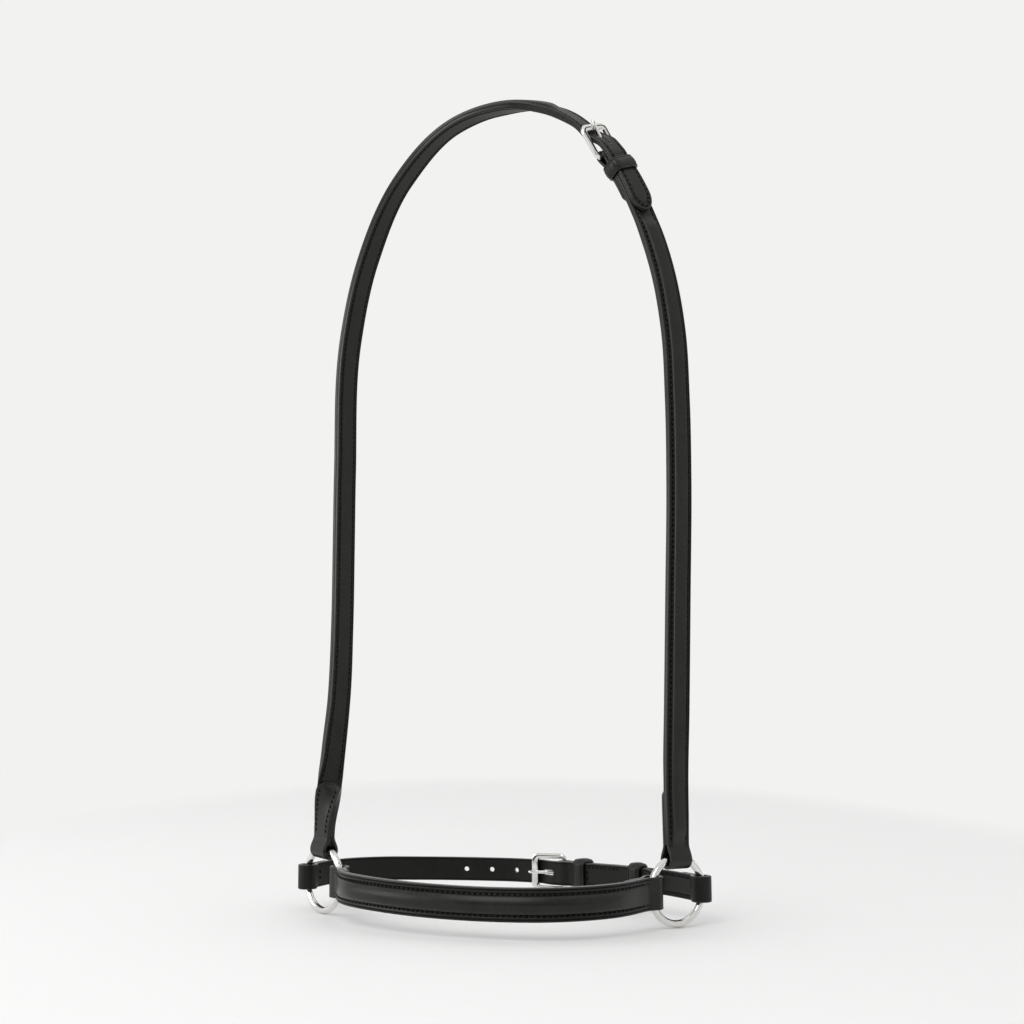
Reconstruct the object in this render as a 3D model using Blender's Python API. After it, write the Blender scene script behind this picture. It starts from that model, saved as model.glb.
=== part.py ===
"""Bridle noseband in black raised leather, modelled as the pieces a saddler would cut and stitch.

A long crown strap rises from the left ring, passes over the poll and buckles to a shorter
cheek strap on the right. Below, two rings join a padded nosepiece in front and a buckled
chin strap behind. Units are metres, +Z is up, +X is the right of the picture and -Y the front.
The origin is the poll seat: the inner face of the crown at its highest place.
"""
import math

import bpy
import numpy as np
from mathutils import Vector

# Driving sizes of the whole noseband
RING_HALF_SPAN = 0.116
POLL_DROP = 0.5102
NOSE_DEPTH = 0.076
CHIN_DEPTH = 0.100
LEFT_RING_TURN = math.radians(55.0)
RIGHT_RING_TURN = math.radians(44.0)

# Rings
RING_INNER_RADIUS = 0.0175
RING_WIRE = 0.0045

# Leather
STRAP_WIDTH = 0.016
NOSE_WIDTH = 0.0195
FACE_PLY = 0.0024
LINING_PLY = 0.0022
FOLD_PLY = 0.0019
FOLD_LINING = 0.0016
BILLET_PLY = 0.0016
CHIN_PLY = 0.0030
CHIN_FOLD_PLY = 0.0024
PLY_GAP = 0.0003
PAD_GAP = 0.00045
EDGE_BEVEL = 0.0005
CROWN_RAISE = 0.0019
NOSE_RAISE = 0.0026
SKIVE_LENGTH = 0.020
TURN_BACK = 0.044
BUCKLE_TURN_BACK = 0.038
NOSE_TURN_BACK = 0.030
CHIN_TURN_BACK = 0.028
LOOP_THROAT = 0.009
RAISE_REST = 0.002
RAISE_FADE = 0.010
LOOP_CLEARANCE = 0.0004
RING_PLAY = 0.0005
BILLET_TIP = 0.009

# Buckles, with their tongues and keepers
BUCKLE_LENGTH = 0.022
BUCKLE_INNER_WIDTH = 0.0182
HEEL_RADIUS = 0.0017
BAR_WIDTH = 0.0036
FAR_BAR_WIDTH = 0.0048
BAR_DEPTH = 0.0030
BUCKLE_CORNER = 0.0038
HEEL_CORNER = 0.0024
EYE_WALL = 0.0012
PIN_CLEARANCE = 0.00025
TONGUE_WIDTH = 0.0026
TONGUE_DEPTH = 0.0020
TONGUE_OVERHANG = 0.0018
SEAT_GAP = 0.0003
FAR_BAR_GAP = 0.0006
HOLE_CLEARANCE = 0.0004
SPARE_HOLE = 0.0032
HOLE_PITCH = 0.0172
SPARE_HOLES = 3
CREW_HOLE = 0.0115
KEEPER_LENGTH = 0.0095
KEEPER_WALL = 0.0018
KEEPER_CORNER = 0.0012
KEEPER_CLEARANCE = 0.0004
RUNNER_CLEARANCE = 0.0007
CUT_OVERRUN = 0.012

# Places along the straps, from the right ring back to a buckle's heel bar, and from the
# heel bar on to the keepers and the billet's tip
CROWN_BUCKLE_BACK = 0.4630
CROWN_BILLET_REACH = 0.048
CROWN_KEEPER_REACH = 0.0125
CHIN_BUCKLE_BACK = 0.1270
CHIN_BILLET_REACH = 0.086
CHIN_KEEPER_REACH = 0.0185
CHIN_RUNNER_REACH = 0.066

# Mesh fineness
LONGEST_STEP = 0.050
TURN_STEP = math.radians(11.0)
NEAR_STEP_SHARE = 0.12
PROBE_SHARE = 0.01
FRAME_SIDES = 10
RING_SIDES = 12
RING_STEPS = 36

WIRE_RADIUS = RING_WIRE / 2.0
RING_RADIUS = RING_INNER_RADIUS + WIRE_RADIUS
CROWN_SEAT = PLY_GAP / 2.0 + LINING_PLY
UP = np.array([0.0, 0.0, 1.0])
SMOOTH_ANGLE = math.radians(38.0)
TIP_ANGLES = tuple(math.radians(angle) for angle in (20.0, 40.0, 57.0, 70.0, 80.0))

# The crown and cheek line from the left ring over the poll to the right ring.
# Each row is x as a share of the half span, y as a share of the chin depth, the drop below
# the poll as a share of the poll drop, and the outer face's direction.
CROWN_LINE_SHARES = (
    (-0.992, 0.00, 0.945, (0.56, 0.83, 0.00)),
    (-0.951, 0.00, 0.842, (-0.78, 0.63, 0.00)),
    (-0.922, 0.00, 0.775, (-0.86, 0.51, 0.00)),
    (-0.909, 0.00, 0.680, (-0.88, 0.47, 0.00)),
    (-0.907, 0.00, 0.580, (-0.88, 0.47, 0.00)),
    (-0.906, 0.00, 0.480, (-0.88, 0.47, 0.00)),
    (-0.882, 0.00, 0.300, (-0.89, 0.45, 0.06)),
    (-0.778, 0.00, 0.191, (-0.86, 0.39, 0.30)),
    (-0.559, 0.00, 0.084, (-0.62, 0.22, 0.74)),
    (-0.236, 0.00, 0.015, (-0.25, 0.04, 0.97)),
    (0.000, 0.00, 0.000, (-0.05, -0.09, 0.99)),
    (0.304, 0.00, 0.006, (0.20, -0.44, 0.88)),
    (0.500, 0.00, 0.030, (0.55, -0.52, 0.66)),
    (0.620, 0.00, 0.061, (0.61, -0.62, 0.50)),
    (0.741, 0.00, 0.100, (0.62, -0.67, 0.40)),
    (0.864, 0.00, 0.160, (0.61, -0.74, 0.27)),
    (0.962, 0.00, 0.231, (0.62, -0.77, 0.18)),
    (1.022, 0.00, 0.313, (0.61, -0.79, 0.10)),
    (1.040, 0.00, 0.404, (0.60, -0.80, 0.04)),
    (1.042, 0.00, 0.506, (0.59, -0.81, 0.00)),
    (1.027, 0.00, 0.655, (0.59, -0.81, 0.00)),
    (1.012, 0.00, 0.790, (0.59, -0.81, 0.00)),
    (1.001, 0.00, 0.880, (0.64, -0.77, 0.00)),
)
# The nosepiece between the two rings, x as a share of the half span, y of the nose depth
# and the height above the ring centres as a share of the ring's inner radius.
NOSE_LINE_SHARES = (
    (-0.735, -0.52, -0.01),
    (-0.480, -0.785, -0.04),
    (-0.170, -0.955, -0.07),
    (0.160, -1.000, -0.09),
    (0.460, -0.930, -0.08),
    (0.710, -0.690, -0.05),
)
# The chin strap, y as a share of the chin depth.
CHIN_LINE_SHARES = (
    (-1.060, 0.42, 0.01),
    (-0.880, 0.69, -0.02),
    (-0.640, 0.855, -0.07),
    (-0.360, 0.950, -0.10),
    (-0.100, 0.975, -0.11),
    (0.110, 0.905, -0.09),
    (0.380, 0.745, -0.05),
    (0.660, 0.575, -0.02),
    (0.890, 0.405, -0.02),
)
# Half widths of the raised centre and of its foot as shares of the strap's width
RAISE_TOP_SHARE = 0.27
RAISE_FOOT_SHARE = 0.32
CENTRE_SWELL_SHARE = 0.15
ARCH_TOP_SHARE = 0.20
ARCH_FOOT_SHARE = 0.25
PAD_SHARE = 0.375
PAD_TOP_SHARE = 0.72
FEATHER_SHARE = 0.45
# How far up the buckle the billet begins to drop, and how far it has dropped, as shares of
# the buckle's length, and how the drop ends past the heel bar
BILLET_DROP_SHARES = (0.22, 0.92)
BILLET_SETTLE_SHARES = (0.16, 0.40)
CREW_HOLE_SHARE = 0.490


def clear_scene():
    """Remove everything the start-up file holds."""
    for item in list(bpy.data.objects):
        bpy.data.objects.remove(item, do_unlink=True)


def smooth_step(value):
    """Ease from 0 to 1 with level ends."""
    value = min(max(value, 0.0), 1.0)
    return value * value * (3.0 - 2.0 * value)


def unit(vector):
    """Return the vector at length one."""
    return vector / np.linalg.norm(vector)


def material(name, colour, roughness, metallic):
    """Make one Principled material."""
    made = bpy.data.materials.new(name)
    made.use_nodes = True
    shader = made.node_tree.nodes["Principled BSDF"]
    shader.inputs["Base Color"].default_value = (*colour, 1.0)
    shader.inputs["Roughness"].default_value = roughness
    shader.inputs["Metallic"].default_value = metallic
    made.diffuse_color = (*colour, 1.0)
    return made


class Route:
    """A strap's middle line with its outer face direction, measured by arc length."""

    DENSE = 40

    def __init__(self, points, faces):
        points = np.array(points, dtype=float)
        faces = np.array([unit(np.array(face, dtype=float)) for face in faces])
        tangents = self.knot_tangents(points)
        places = []
        directions = []
        for index in range(len(points) - 1):
            span = np.linalg.norm(points[index + 1] - points[index])
            for step in range(self.DENSE):
                share = step / self.DENSE
                places.append(self.hermite(points[index], points[index + 1],
                                           tangents[index] * span, tangents[index + 1] * span, share))
                directions.append(faces[index] + (faces[index + 1] - faces[index]) * smooth_step(share))
        places.append(points[-1])
        directions.append(faces[-1])
        self.places = np.array(places)
        self.directions = np.array(directions)
        steps = np.linalg.norm(np.diff(self.places, axis=0), axis=1)
        self.marks = np.concatenate(([0.0], np.cumsum(steps)))
        self.length = float(self.marks[-1])
        self.lines = np.gradient(self.places, self.marks, axis=0)
        turns = [0.0]
        for before, after in zip(self.marks[:-1], self.marks[1:]):
            _, line, across, outer = self.frame(before)
            _, next_line, _, next_outer = self.frame(after)
            turn = np.linalg.norm(next_line - line) + abs(np.dot(next_outer - outer, across))
            turns.append(turns[-1] + turn / TURN_STEP + (after - before) / LONGEST_STEP)
        self.turns = np.array(turns)

    @staticmethod
    def knot_tangents(points):
        """Give each point a direction from its neighbours, the nearer one counting more."""
        tangents = [unit(points[1] - points[0])]
        for index in range(1, len(points) - 1):
            before = points[index] - points[index - 1]
            after = points[index + 1] - points[index]
            size_before = np.linalg.norm(before)
            size_after = np.linalg.norm(after)
            blend = before / size_before * size_after + after / size_after * size_before
            tangents.append(unit(blend))
        tangents.append(unit(points[-1] - points[-2]))
        return tangents

    @staticmethod
    def hermite(start, end, start_line, end_line, share):
        """Return a point on the cubic between two points with given directions."""
        squared = share * share
        cubed = squared * share
        return (start * (2.0 * cubed - 3.0 * squared + 1.0) + start_line * (cubed - 2.0 * squared + share)
                + end * (3.0 * squared - 2.0 * cubed) + end_line * (cubed - squared))

    def sample(self, table, mark):
        """Read a table of vectors at one arc length."""
        return np.array([np.interp(mark, self.marks, table[:, axis]) for axis in range(3)])

    def frame(self, mark):
        """Return place, line, width direction and outer direction at an arc length."""
        inside = min(max(mark, 0.0), self.length)
        line = unit(self.sample(self.lines, inside))
        place = self.sample(self.places, inside) + line * (mark - inside)
        outer = self.sample(self.directions, inside)
        outer = unit(outer - line * np.dot(outer, line))
        return place, line, np.cross(line, outer), outer

    def at(self, mark, height):
        """Return the point at a height over the line."""
        place, line, across, outer = self.frame(mark)
        return place + outer * height


def base_height(depth, side):
    """Height of a ply's middle over (1), under (-1) or on (0) the line between two plies."""
    return side * (PLY_GAP + depth) / 2.0


def level(mark):
    """Height of a ply that follows its route."""
    return 0.0


class Station:
    """One cross-section of a ply: where it is, how it stands and how large it is."""

    def __init__(self, place, across, up, width, depth, lift=0.0, turned=False):
        self.place = place
        self.across = across
        self.up = up
        self.width = width
        self.depth = depth
        self.lift = lift
        self.turned = turned


class Fold:
    """The end of a strap turned back round a bar or a ring's wire."""

    def __init__(self, route, mark, way, bar_radius, bow, ply, main_height, back_height):
        self.route = route
        self.mark = mark
        self.way = way
        self.ply = ply
        self.main_height = main_height
        self.back_height = back_height
        self.middle = (main_height + back_height) / 2.0
        self.inner_radius = bar_radius + bow / 2.0 + LOOP_CLEARANCE
        self.radius = self.inner_radius + ply / 2.0
        self.throat = mark - way * LOOP_THROAT

    def height(self, mark, side):
        """Height of the main ply (side 1) or of the turned-back ply (side -1) over the line."""
        base = self.main_height if side > 0 else self.back_height
        loop = self.middle + side * self.radius
        share = 1.0 - self.way * (self.mark - mark) / LOOP_THROAT
        return base + (loop - base) * smooth_step(share)

    def bend(self, count=7):
        """Yield place, width direction and up direction round the bend, main side first."""
        place, line, across, outer = self.route.frame(self.mark)
        centre = place + outer * self.middle
        for step in range(1, count):
            angle = math.pi * step / count
            up = outer * math.cos(angle) + line * (self.way * math.sin(angle))
            yield centre + up * self.radius, across, up


def tilted_station(route, height_of, mark, width, depth, lift=0.0, flip=False, side=0.0):
    """Make a section on a line that may slope against its route, over (1) or under (-1) it."""
    probe = LONGEST_STEP * PROBE_SHARE
    place, line, across, outer = route.frame(mark)
    here = place + outer * height_of(mark)
    ahead = route.at(mark + probe, height_of(mark + probe))
    behind = route.at(mark - probe, height_of(mark - probe))
    run = unit(ahead - behind)
    up = unit(outer - run * np.dot(outer, run))
    return Station(here + up * base_height(depth, side), across, -up if flip else up, width, depth, lift, flip)


def marks_between(route, start, end):
    """Arc lengths from start to end, closer together where the strap bends or twists.

    The ones between come from one row of places along the route, which all its plies share.
    """
    low, high = sorted(np.interp((start, end), route.marks, route.turns))
    steps = range(math.ceil(low + NEAR_STEP_SHARE), math.floor(high - NEAR_STEP_SHARE) + 1)
    inner = [float(np.interp(step, route.turns, route.marks)) for step in steps]
    return [start] + (inner if start < end else inner[::-1]) + [end]


def marks_through(route, stops):
    """Arc lengths through several stops, each of them kept."""
    marks = [stops[0]]
    for start, end in zip(stops[:-1], stops[1:]):
        marks.extend(marks_between(route, start, end)[1:])
    return marks


def fold_stations(fold, turn_back, width):
    """Sections from the main ply's throat round the bend to the turned-back end."""
    throat_steps = 3
    throat_marks = [fold.throat + (fold.mark - fold.throat) * step / throat_steps
                    for step in range(throat_steps + 1)]
    stations = []
    for mark in throat_marks:
        stations.append(tilted_station(fold.route, lambda place: fold.height(place, 1.0), mark, width, fold.ply))
    for place, across, up in fold.bend():
        stations.append(Station(place, across, up, width, fold.ply))
    for mark in reversed(throat_marks):
        stations.append(tilted_station(fold.route, lambda place: fold.height(place, -1.0), mark, width,
                                       fold.ply, flip=True))
    fades = [fold.throat - fold.way * RAISE_FADE * share for share in (0.0, 0.5, 1.0)]
    for mark in marks_through(fold.route, fades + [fold.mark - fold.way * turn_back])[1:]:
        stations.append(tilted_station(fold.route, lambda place: fold.height(place, -1.0), mark, width,
                                       fold.ply, flip=True))
    feather = stations[-1]
    feather.depth *= FEATHER_SHARE
    feather.place = feather.place + feather.up * (-fold.ply * (1.0 - FEATHER_SHARE) / 2.0)
    return stations


def face_section(station):
    """Outline of a ply whose centre may be pressed up over a pad, as a hat with flat rims."""
    half = station.width / 2.0
    low = -station.depth / 2.0
    high = station.depth / 2.0
    lift = station.lift
    bevel = min(EDGE_BEVEL, station.depth / 4.0)
    side = half - min(bevel, half / 4.0)
    top = station.width * RAISE_TOP_SHARE
    foot = station.width * RAISE_FOOT_SHARE
    arch_top = station.width * ARCH_TOP_SHARE
    arch_foot = station.width * ARCH_FOOT_SHARE
    swell = lift * CENTRE_SWELL_SHARE
    return [
        (-side, low), (-arch_foot, low), (-arch_top, low + lift), (arch_top, low + lift), (arch_foot, low),
        (side, low), (half, low + bevel), (half, high - bevel), (side, high), (foot, high),
        (top, high + lift), (0.0, high + lift + swell), (-top, high + lift), (-foot, high), (-side, high),
        (-half, high - bevel), (-half, low + bevel),
    ]


def flat_section(station):
    """Outline of a flat ply with broken edges."""
    half = station.width / 2.0
    low = -station.depth / 2.0
    high = station.depth / 2.0
    bevel = min(EDGE_BEVEL, station.depth / 4.0)
    side = half - min(bevel, half / 4.0)
    return [(-side, low), (side, low), (half, low + bevel), (half, high - bevel),
            (side, high), (-side, high), (-half, high - bevel), (-half, low + bevel)]


def lining_section(station):
    """Outline of a lining, divided as the face over it is, so that both twist alike."""
    crease = station.width * ARCH_FOOT_SHARE
    points = flat_section(station)
    low, high = points[0][1], points[4][1]
    return points[:1] + [(-crease, low), (crease, low)] + points[1:5] + [(crease, high), (-crease, high)] + points[5:]


def pad_section(station):
    """Outline of the domed filler under the raised centre."""
    half = station.width / 2.0
    low = -station.depth / 2.0
    high = station.depth / 2.0
    return [(-half, low), (half, low), (half, (low + high) / 2.0), (half * PAD_TOP_SHARE, high),
            (-half * PAD_TOP_SHARE, high), (-half, (low + high) / 2.0)]


def add_object(name, corners, faces, finish, origin=None):
    """Make one object from world corners, with its origin where it is asked for."""
    corners = np.array(corners, dtype=float)
    home = np.array(origin, dtype=float) if origin is not None else corners.mean(axis=0)
    mesh = bpy.data.meshes.new(name)
    mesh.from_pydata([tuple(corner) for corner in corners - home], [], faces)
    mesh.materials.append(finish)
    if enclosed_volume(mesh) < 0.0:
        mesh.flip_normals()
    mesh.validate()
    mesh.shade_smooth()
    mesh.set_sharp_from_angle(angle=SMOOTH_ANGLE)
    made = bpy.data.objects.new(name, mesh)
    made.location = Vector(home)
    bpy.context.scene.collection.objects.link(made)
    return made


def enclosed_volume(mesh):
    """Signed volume of a closed mesh, positive when its faces point out."""
    total = 0.0
    for face in mesh.polygons:
        corners = [mesh.vertices[index].co for index in face.vertices]
        for second, third in zip(corners[1:-1], corners[2:]):
            total += corners[0].dot(second.cross(third))
    return total


def sweep(name, stations, section, finish, origin=None):
    """Skin a row of sections into one closed solid with flat ends.

    Every patch is split from its left corner in one row to its right corner in the next, the
    rows of a turned-back end taken backwards, so that the plies of a twisted strap bulge
    alike and stay clear of one another.
    """
    corners = []
    faces = []
    for station in stations:
        for across, up in section(station):
            corners.append(station.place + station.across * across + station.up * up)
    sides = [across for across, _ in section(stations[0])]
    size = len(sides)
    for row, station in enumerate(stations[:-1]):
        for column in range(size):
            here, following = row * size + column, row * size + (column + 1) % size
            if (sides[column] <= sides[(column + 1) % size]) != station.turned:
                faces.append((here, following, following + size))
                faces.append((here, following + size, here + size))
            else:
                faces.append((here, following, here + size))
                faces.append((following, following + size, here + size))
    faces.append(tuple(reversed(range(size))))
    last = (len(stations) - 1) * size
    faces.append(tuple(range(last, last + size)))
    return add_object(name, corners, faces, finish, origin)


def loop_sweep(name, rows, finish, origin):
    """Skin a closed row of equal outlines into one ring-shaped solid."""
    size = len(rows[0])
    corners = [corner for row in rows for corner in row]
    faces = []
    for row in range(len(rows)):
        following_row = (row + 1) % len(rows)
        for column in range(size):
            following = (column + 1) % size
            faces.append((row * size + column, row * size + following,
                          following_row * size + following, following_row * size + column))
    return add_object(name, corners, faces, finish, origin)


def cut(target, cutter):
    """Take the cutter's shape out of the target."""
    cutter.hide_render = True
    cutter.display_type = "WIRE"
    change = target.modifiers.new("cut_" + cutter.name, "BOOLEAN")
    change.operation = "DIFFERENCE"
    change.solver = "EXACT"
    change.object = cutter


def capsule_cutter(name, route, mark, length, width, finish):
    """A slot-shaped cutter that stands square to a strap."""
    place, line, across, outer = route.frame(mark)
    outline = []
    straight = max(length - width, 0.0) / 2.0
    half_steps = 6
    for end, start_angle in ((1.0, -math.pi / 2.0), (-1.0, math.pi / 2.0)):
        for step in range(half_steps + 1):
            if straight == 0.0 and step == half_steps:
                continue
            angle = start_angle + math.pi * step / half_steps
            along = end * straight + math.cos(angle) * width / 2.0
            outline.append(place + line * along + across * (math.sin(angle) * width / 2.0))
    return prism(name, outline, outer, -CUT_OVERRUN, CUT_OVERRUN, finish)


def prism(name, outline, direction, low, high, finish, origin=None):
    """Extrude a flat outline along a direction."""
    size = len(outline)
    corners = [point + direction * low for point in outline] + [point + direction * high for point in outline]
    faces = [tuple(reversed(range(size))), tuple(range(size, 2 * size))]
    for index in range(size):
        following = (index + 1) % size
        faces.append((index, following, size + following, size + index))
    return add_object(name, corners, faces, finish, origin)


def skived(mark, thin_stretches, full):
    """Thickness of a ply that is pared down over some stretches, as (start, end, depth)."""
    depth = full
    for start, end, thin in thin_stretches:
        away = max(start - mark, mark - end, 0.0)
        depth = min(depth, thin + (full - thin) * smooth_step(away / SKIVE_LENGTH))
    return depth


def fade_stops(start, end):
    """Arc lengths between which a raised centre rises, runs level and sinks again."""
    half = RAISE_FADE / 2.0
    return (start, start + half, start + RAISE_FADE, end - RAISE_FADE, end - half, end)


def raised(mark, start, end, amount):
    """Height of the raised centre, which fades out at both ends of its pad."""
    share = min((mark - start) / RAISE_FADE, (end - mark) / RAISE_FADE)
    return amount * smooth_step(share)


def ring_direction(side):
    """Level direction in a ring's plane, from the nosepiece side to the chin side."""
    if side < 0:
        return np.array([-math.sin(LEFT_RING_TURN), math.cos(LEFT_RING_TURN), 0.0])
    return np.array([math.sin(RIGHT_RING_TURN), math.cos(RIGHT_RING_TURN), 0.0])


def ring_centre(side):
    """Centre of the left (-1) or right (1) ring."""
    return np.array([side * RING_HALF_SPAN, 0.0, -POLL_DROP])


def wire_bow(width):
    """How far a ring's wire bows out of line across the width of a strap."""
    return RING_RADIUS - math.sqrt(RING_RADIUS ** 2 - (width / 2.0) ** 2)


def wire_place(side, direction, width):
    """Middle of the stretch of wire that a strap of this width goes round."""
    return ring_centre(side) + direction * (RING_RADIUS - wire_bow(width) / 2.0)


def fold_middle(main_ply, inner_ply):
    """Height of a fold's middle under the line between face and lining."""
    return -(inner_ply + PLY_GAP) / 2.0 if inner_ply else -(main_ply + PLY_GAP) / 2.0


def crown_route():
    """Line of the crown and cheek straps from ring to ring."""
    points = []
    faces = []
    for across, back, drop, face in CROWN_LINE_SHARES:
        points.append(np.array([across * RING_HALF_SPAN, back * CHIN_DEPTH, CROWN_SEAT - drop * POLL_DROP]))
        faces.append(face)
    ends = []
    for side in (-1, 1):
        outer = ring_face(side)
        ends.append((wire_place(side, UP, STRAP_WIDTH) - outer * fold_middle(FOLD_PLY, FOLD_LINING), outer))
    points = [ends[0][0]] + points + [ends[1][0]]
    faces = [ends[0][1]] + faces + [ends[1][1]]
    return Route(points, faces)


def ring_face(side):
    """Outer direction of a cheek strap where it hangs on its ring. The left one is twisted over."""
    return np.cross(ring_direction(side), UP)


def level_route(line_shares, depth, way, width, middle):
    """Line of the nosepiece (way -1) or the chin strap (way 1) from ring to ring."""
    points = []
    for across, back, height in line_shares:
        points.append(np.array([across * RING_HALF_SPAN, back * depth,
                                height * RING_INNER_RADIUS - POLL_DROP]))
    ends = [wire_place(side, ring_direction(side) * way, width) for side in (-1, 1)]
    points = np.array([ends[0]] + points + [ends[1]])
    lines = np.gradient(points, axis=0)
    # Both bands face the front: the nosepiece outwards, and the chin strap inwards, because
    # its buckle sits on the inner side in the photograph.
    faces = [np.cross(line, UP) for line in lines]
    for index in (0, len(points) - 1):
        points[index] = points[index] - unit(faces[index]) * middle
    return Route(points, faces)


def tip_stations(route, height_of, end, width, depth, side=0.0):
    """Sections of a billet's rounded tip, which narrows like the end of an ellipse."""
    stations = []
    for angle in TIP_ANGLES:
        narrow = math.cos(angle)
        mark = end - BILLET_TIP * (1.0 - math.sin(angle))
        stations.append(tilted_station(route, height_of, mark, width * narrow, depth, side=side))
    return stations


class BuckleSeat:
    """Where a buckle's heel bar and far bar lie on a strap, and how the billet runs by."""

    def __init__(self, route, mark, middle, fold_top, strap_top, billet_depth, rest_top):
        self.route = route
        self.mark = mark
        self.middle = middle
        self.rise = fold_top + SEAT_GAP + billet_depth / 2.0
        self.lie = strap_top + SEAT_GAP + billet_depth / 2.0
        self.far_height = rest_top + FAR_BAR_GAP + BAR_DEPTH / 2.0
        self.heel = route.at(mark, middle)
        near, far = mark - 2.0 * BUCKLE_LENGTH, mark
        halvings = 40
        for _ in range(halvings):
            guess = (near + far) / 2.0
            if np.linalg.norm(route.at(guess, self.far_height) - self.heel) > BUCKLE_LENGTH:
                near = guess
            else:
                far = guess
        self.far_mark = (near + far) / 2.0
        self.far = route.at(self.far_mark, self.far_height)
        self.line = unit(self.far - self.heel)
        across = route.frame(mark)[2] + route.frame(self.far_mark)[2]
        self.across = unit(across - self.line * np.dot(across, self.line))
        self.outer = unit(np.cross(self.across, self.line))
        if np.dot(self.outer, route.frame(mark)[3]) < 0.0:
            self.outer = -self.outer

    def billet_height(self, mark):
        """Height of the billet's middle over the line, up and over the heel bar's fold."""
        back = (self.mark - mark) / BUCKLE_LENGTH
        if back > 0.0:
            begin, end = BILLET_DROP_SHARES
            return self.rise * (1.0 - smooth_step((back - begin) / (end - begin)))
        begin, end = BILLET_SETTLE_SHARES
        return self.rise + (self.lie - self.rise) * smooth_step((-back - begin) / (end - begin))


def long_ply(name, section, finish, pieces):
    """Sweep one ply whose stations come in several runs, start to end."""
    return sweep(name, [station for run in pieces for station in run], section, finish)


def run_stations(route, stops, height_of, depth_of, width, lift_of=None, side=0.0):
    """Sections of the plain run of a ply."""
    stations = []
    for mark in marks_through(route, stops):
        lift = lift_of(mark) if lift_of else 0.0
        stations.append(tilted_station(route, height_of, mark, width, depth_of(mark), lift, side=side))
    return stations


def padding(name, route, start, end, width, lift_of, finish):
    """The filler strip that lies under a raised centre, between face and lining."""
    stations = []
    for mark in marks_between(route, start + RAISE_FADE, end - RAISE_FADE):
        lift = lift_of(mark)
        stations.append(tilted_station(route, lambda place: lift_of(place) / 2.0, mark,
                                       width * PAD_SHARE, lift + PLY_GAP - 2.0 * PAD_GAP))
    return sweep(name, stations, pad_section, finish)


def cheek_fold(route, mark, way, bar_radius, bow):
    """Fold of a stitched strap's face ply, with the lining inside it."""
    back = -(PLY_GAP / 2.0 + FOLD_LINING + PLY_GAP + FOLD_PLY / 2.0)
    return Fold(route, mark, way, bar_radius, bow, FOLD_PLY, base_height(FOLD_PLY, 1.0), back)


def chin_fold(route, mark, way, bar_radius, bow):
    """Fold of the chin strap, a single ply turned back on itself."""
    return Fold(route, mark, way, bar_radius, bow, CHIN_FOLD_PLY, 0.0, -(CHIN_FOLD_PLY + PLY_GAP))


def billet_stops(seat, tip):
    """Arc lengths that follow the billet's rise over the buckle, up to its rounded tip."""
    drops = 6
    stops = [seat.far_mark]
    for step in range(drops, -1, -1):
        begin, end = BILLET_DROP_SHARES
        stops.append(seat.mark - BUCKLE_LENGTH * (begin + (end - begin) * step / drops))
    for share in (0.0, BILLET_SETTLE_SHARES[0], sum(BILLET_SETTLE_SHARES) / 2.0, BILLET_SETTLE_SHARES[1]):
        stops.append(seat.mark + BUCKLE_LENGTH * share)
    stops.append(tip - BILLET_TIP)
    return tuple(stops)


def crown_strap(route, seat, finishes):
    """The long strap: turned back on the left ring, raised over the head, billet at its end."""
    fold = cheek_fold(route, 0.0, -1.0, WIRE_RADIUS + RING_PLAY, wire_bow(STRAP_WIDTH))
    tip = seat.mark + CROWN_BILLET_REACH
    thin_from = seat.far_mark - FAR_BAR_WIDTH
    billet = (thin_from, tip, BILLET_PLY)
    raise_end = thin_from - SKIVE_LENGTH

    def face_depth(mark):
        return skived(mark, ((fold.mark, fold.throat, FOLD_PLY), billet), FACE_PLY)

    def lining_depth(mark):
        return skived(mark, ((fold.mark, fold.mark + TURN_BACK, FOLD_LINING), billet), LINING_PLY)

    def lift(mark):
        return raised(mark, fold.throat, raise_end, CROWN_RAISE)

    stops = fade_stops(fold.throat, raise_end) + billet_stops(seat, tip)
    face = long_ply("crown_strap_face", face_section, finishes["leather"], (
        list(reversed(fold_stations(fold, TURN_BACK, STRAP_WIDTH))),
        run_stations(route, stops, seat.billet_height, face_depth, STRAP_WIDTH, lift, 1.0)[1:],
        tip_stations(route, seat.billet_height, tip, STRAP_WIDTH, BILLET_PLY, 1.0),
    ))
    lining = long_ply("crown_strap_lining", lining_section, finishes["lining"], (
        run_stations(route, stops, seat.billet_height, lining_depth, STRAP_WIDTH, side=-1.0),
        tip_stations(route, seat.billet_height, tip, STRAP_WIDTH, BILLET_PLY, -1.0),
    ))
    hole = capsule_cutter("crown_hole_cutter", route, seat.mark - CREW_HOLE_SHARE * BUCKLE_LENGTH,
                          CREW_HOLE, TONGUE_WIDTH + 2.0 * HOLE_CLEARANCE, finishes["leather"])
    cut(face, hole)
    cut(lining, hole)
    padding("crown_strap_padding", route, fold.throat, raise_end, STRAP_WIDTH, lift, finishes["padding"])


def fold_slot(name, seat, radius, finish):
    """Cutter for the slot in a buckle fold that lets the tongue out."""
    reach = radius + CUT_OVERRUN
    eye = HEEL_RADIUS + PIN_CLEARANCE + EYE_WALL + HOLE_CLEARANCE
    half = TONGUE_WIDTH / 2.0 + HOLE_CLEARANCE
    line = seat.route.frame(seat.mark)[1]
    across, outer = seat.route.frame(seat.mark)[2:]
    outline = [seat.heel - line * reach - across * half, seat.heel - line * reach + across * half,
               seat.heel + line * eye + across * half, seat.heel + line * eye - across * half]
    return prism(name, outline, outer, -CUT_OVERRUN, CUT_OVERRUN, finish)


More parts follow.
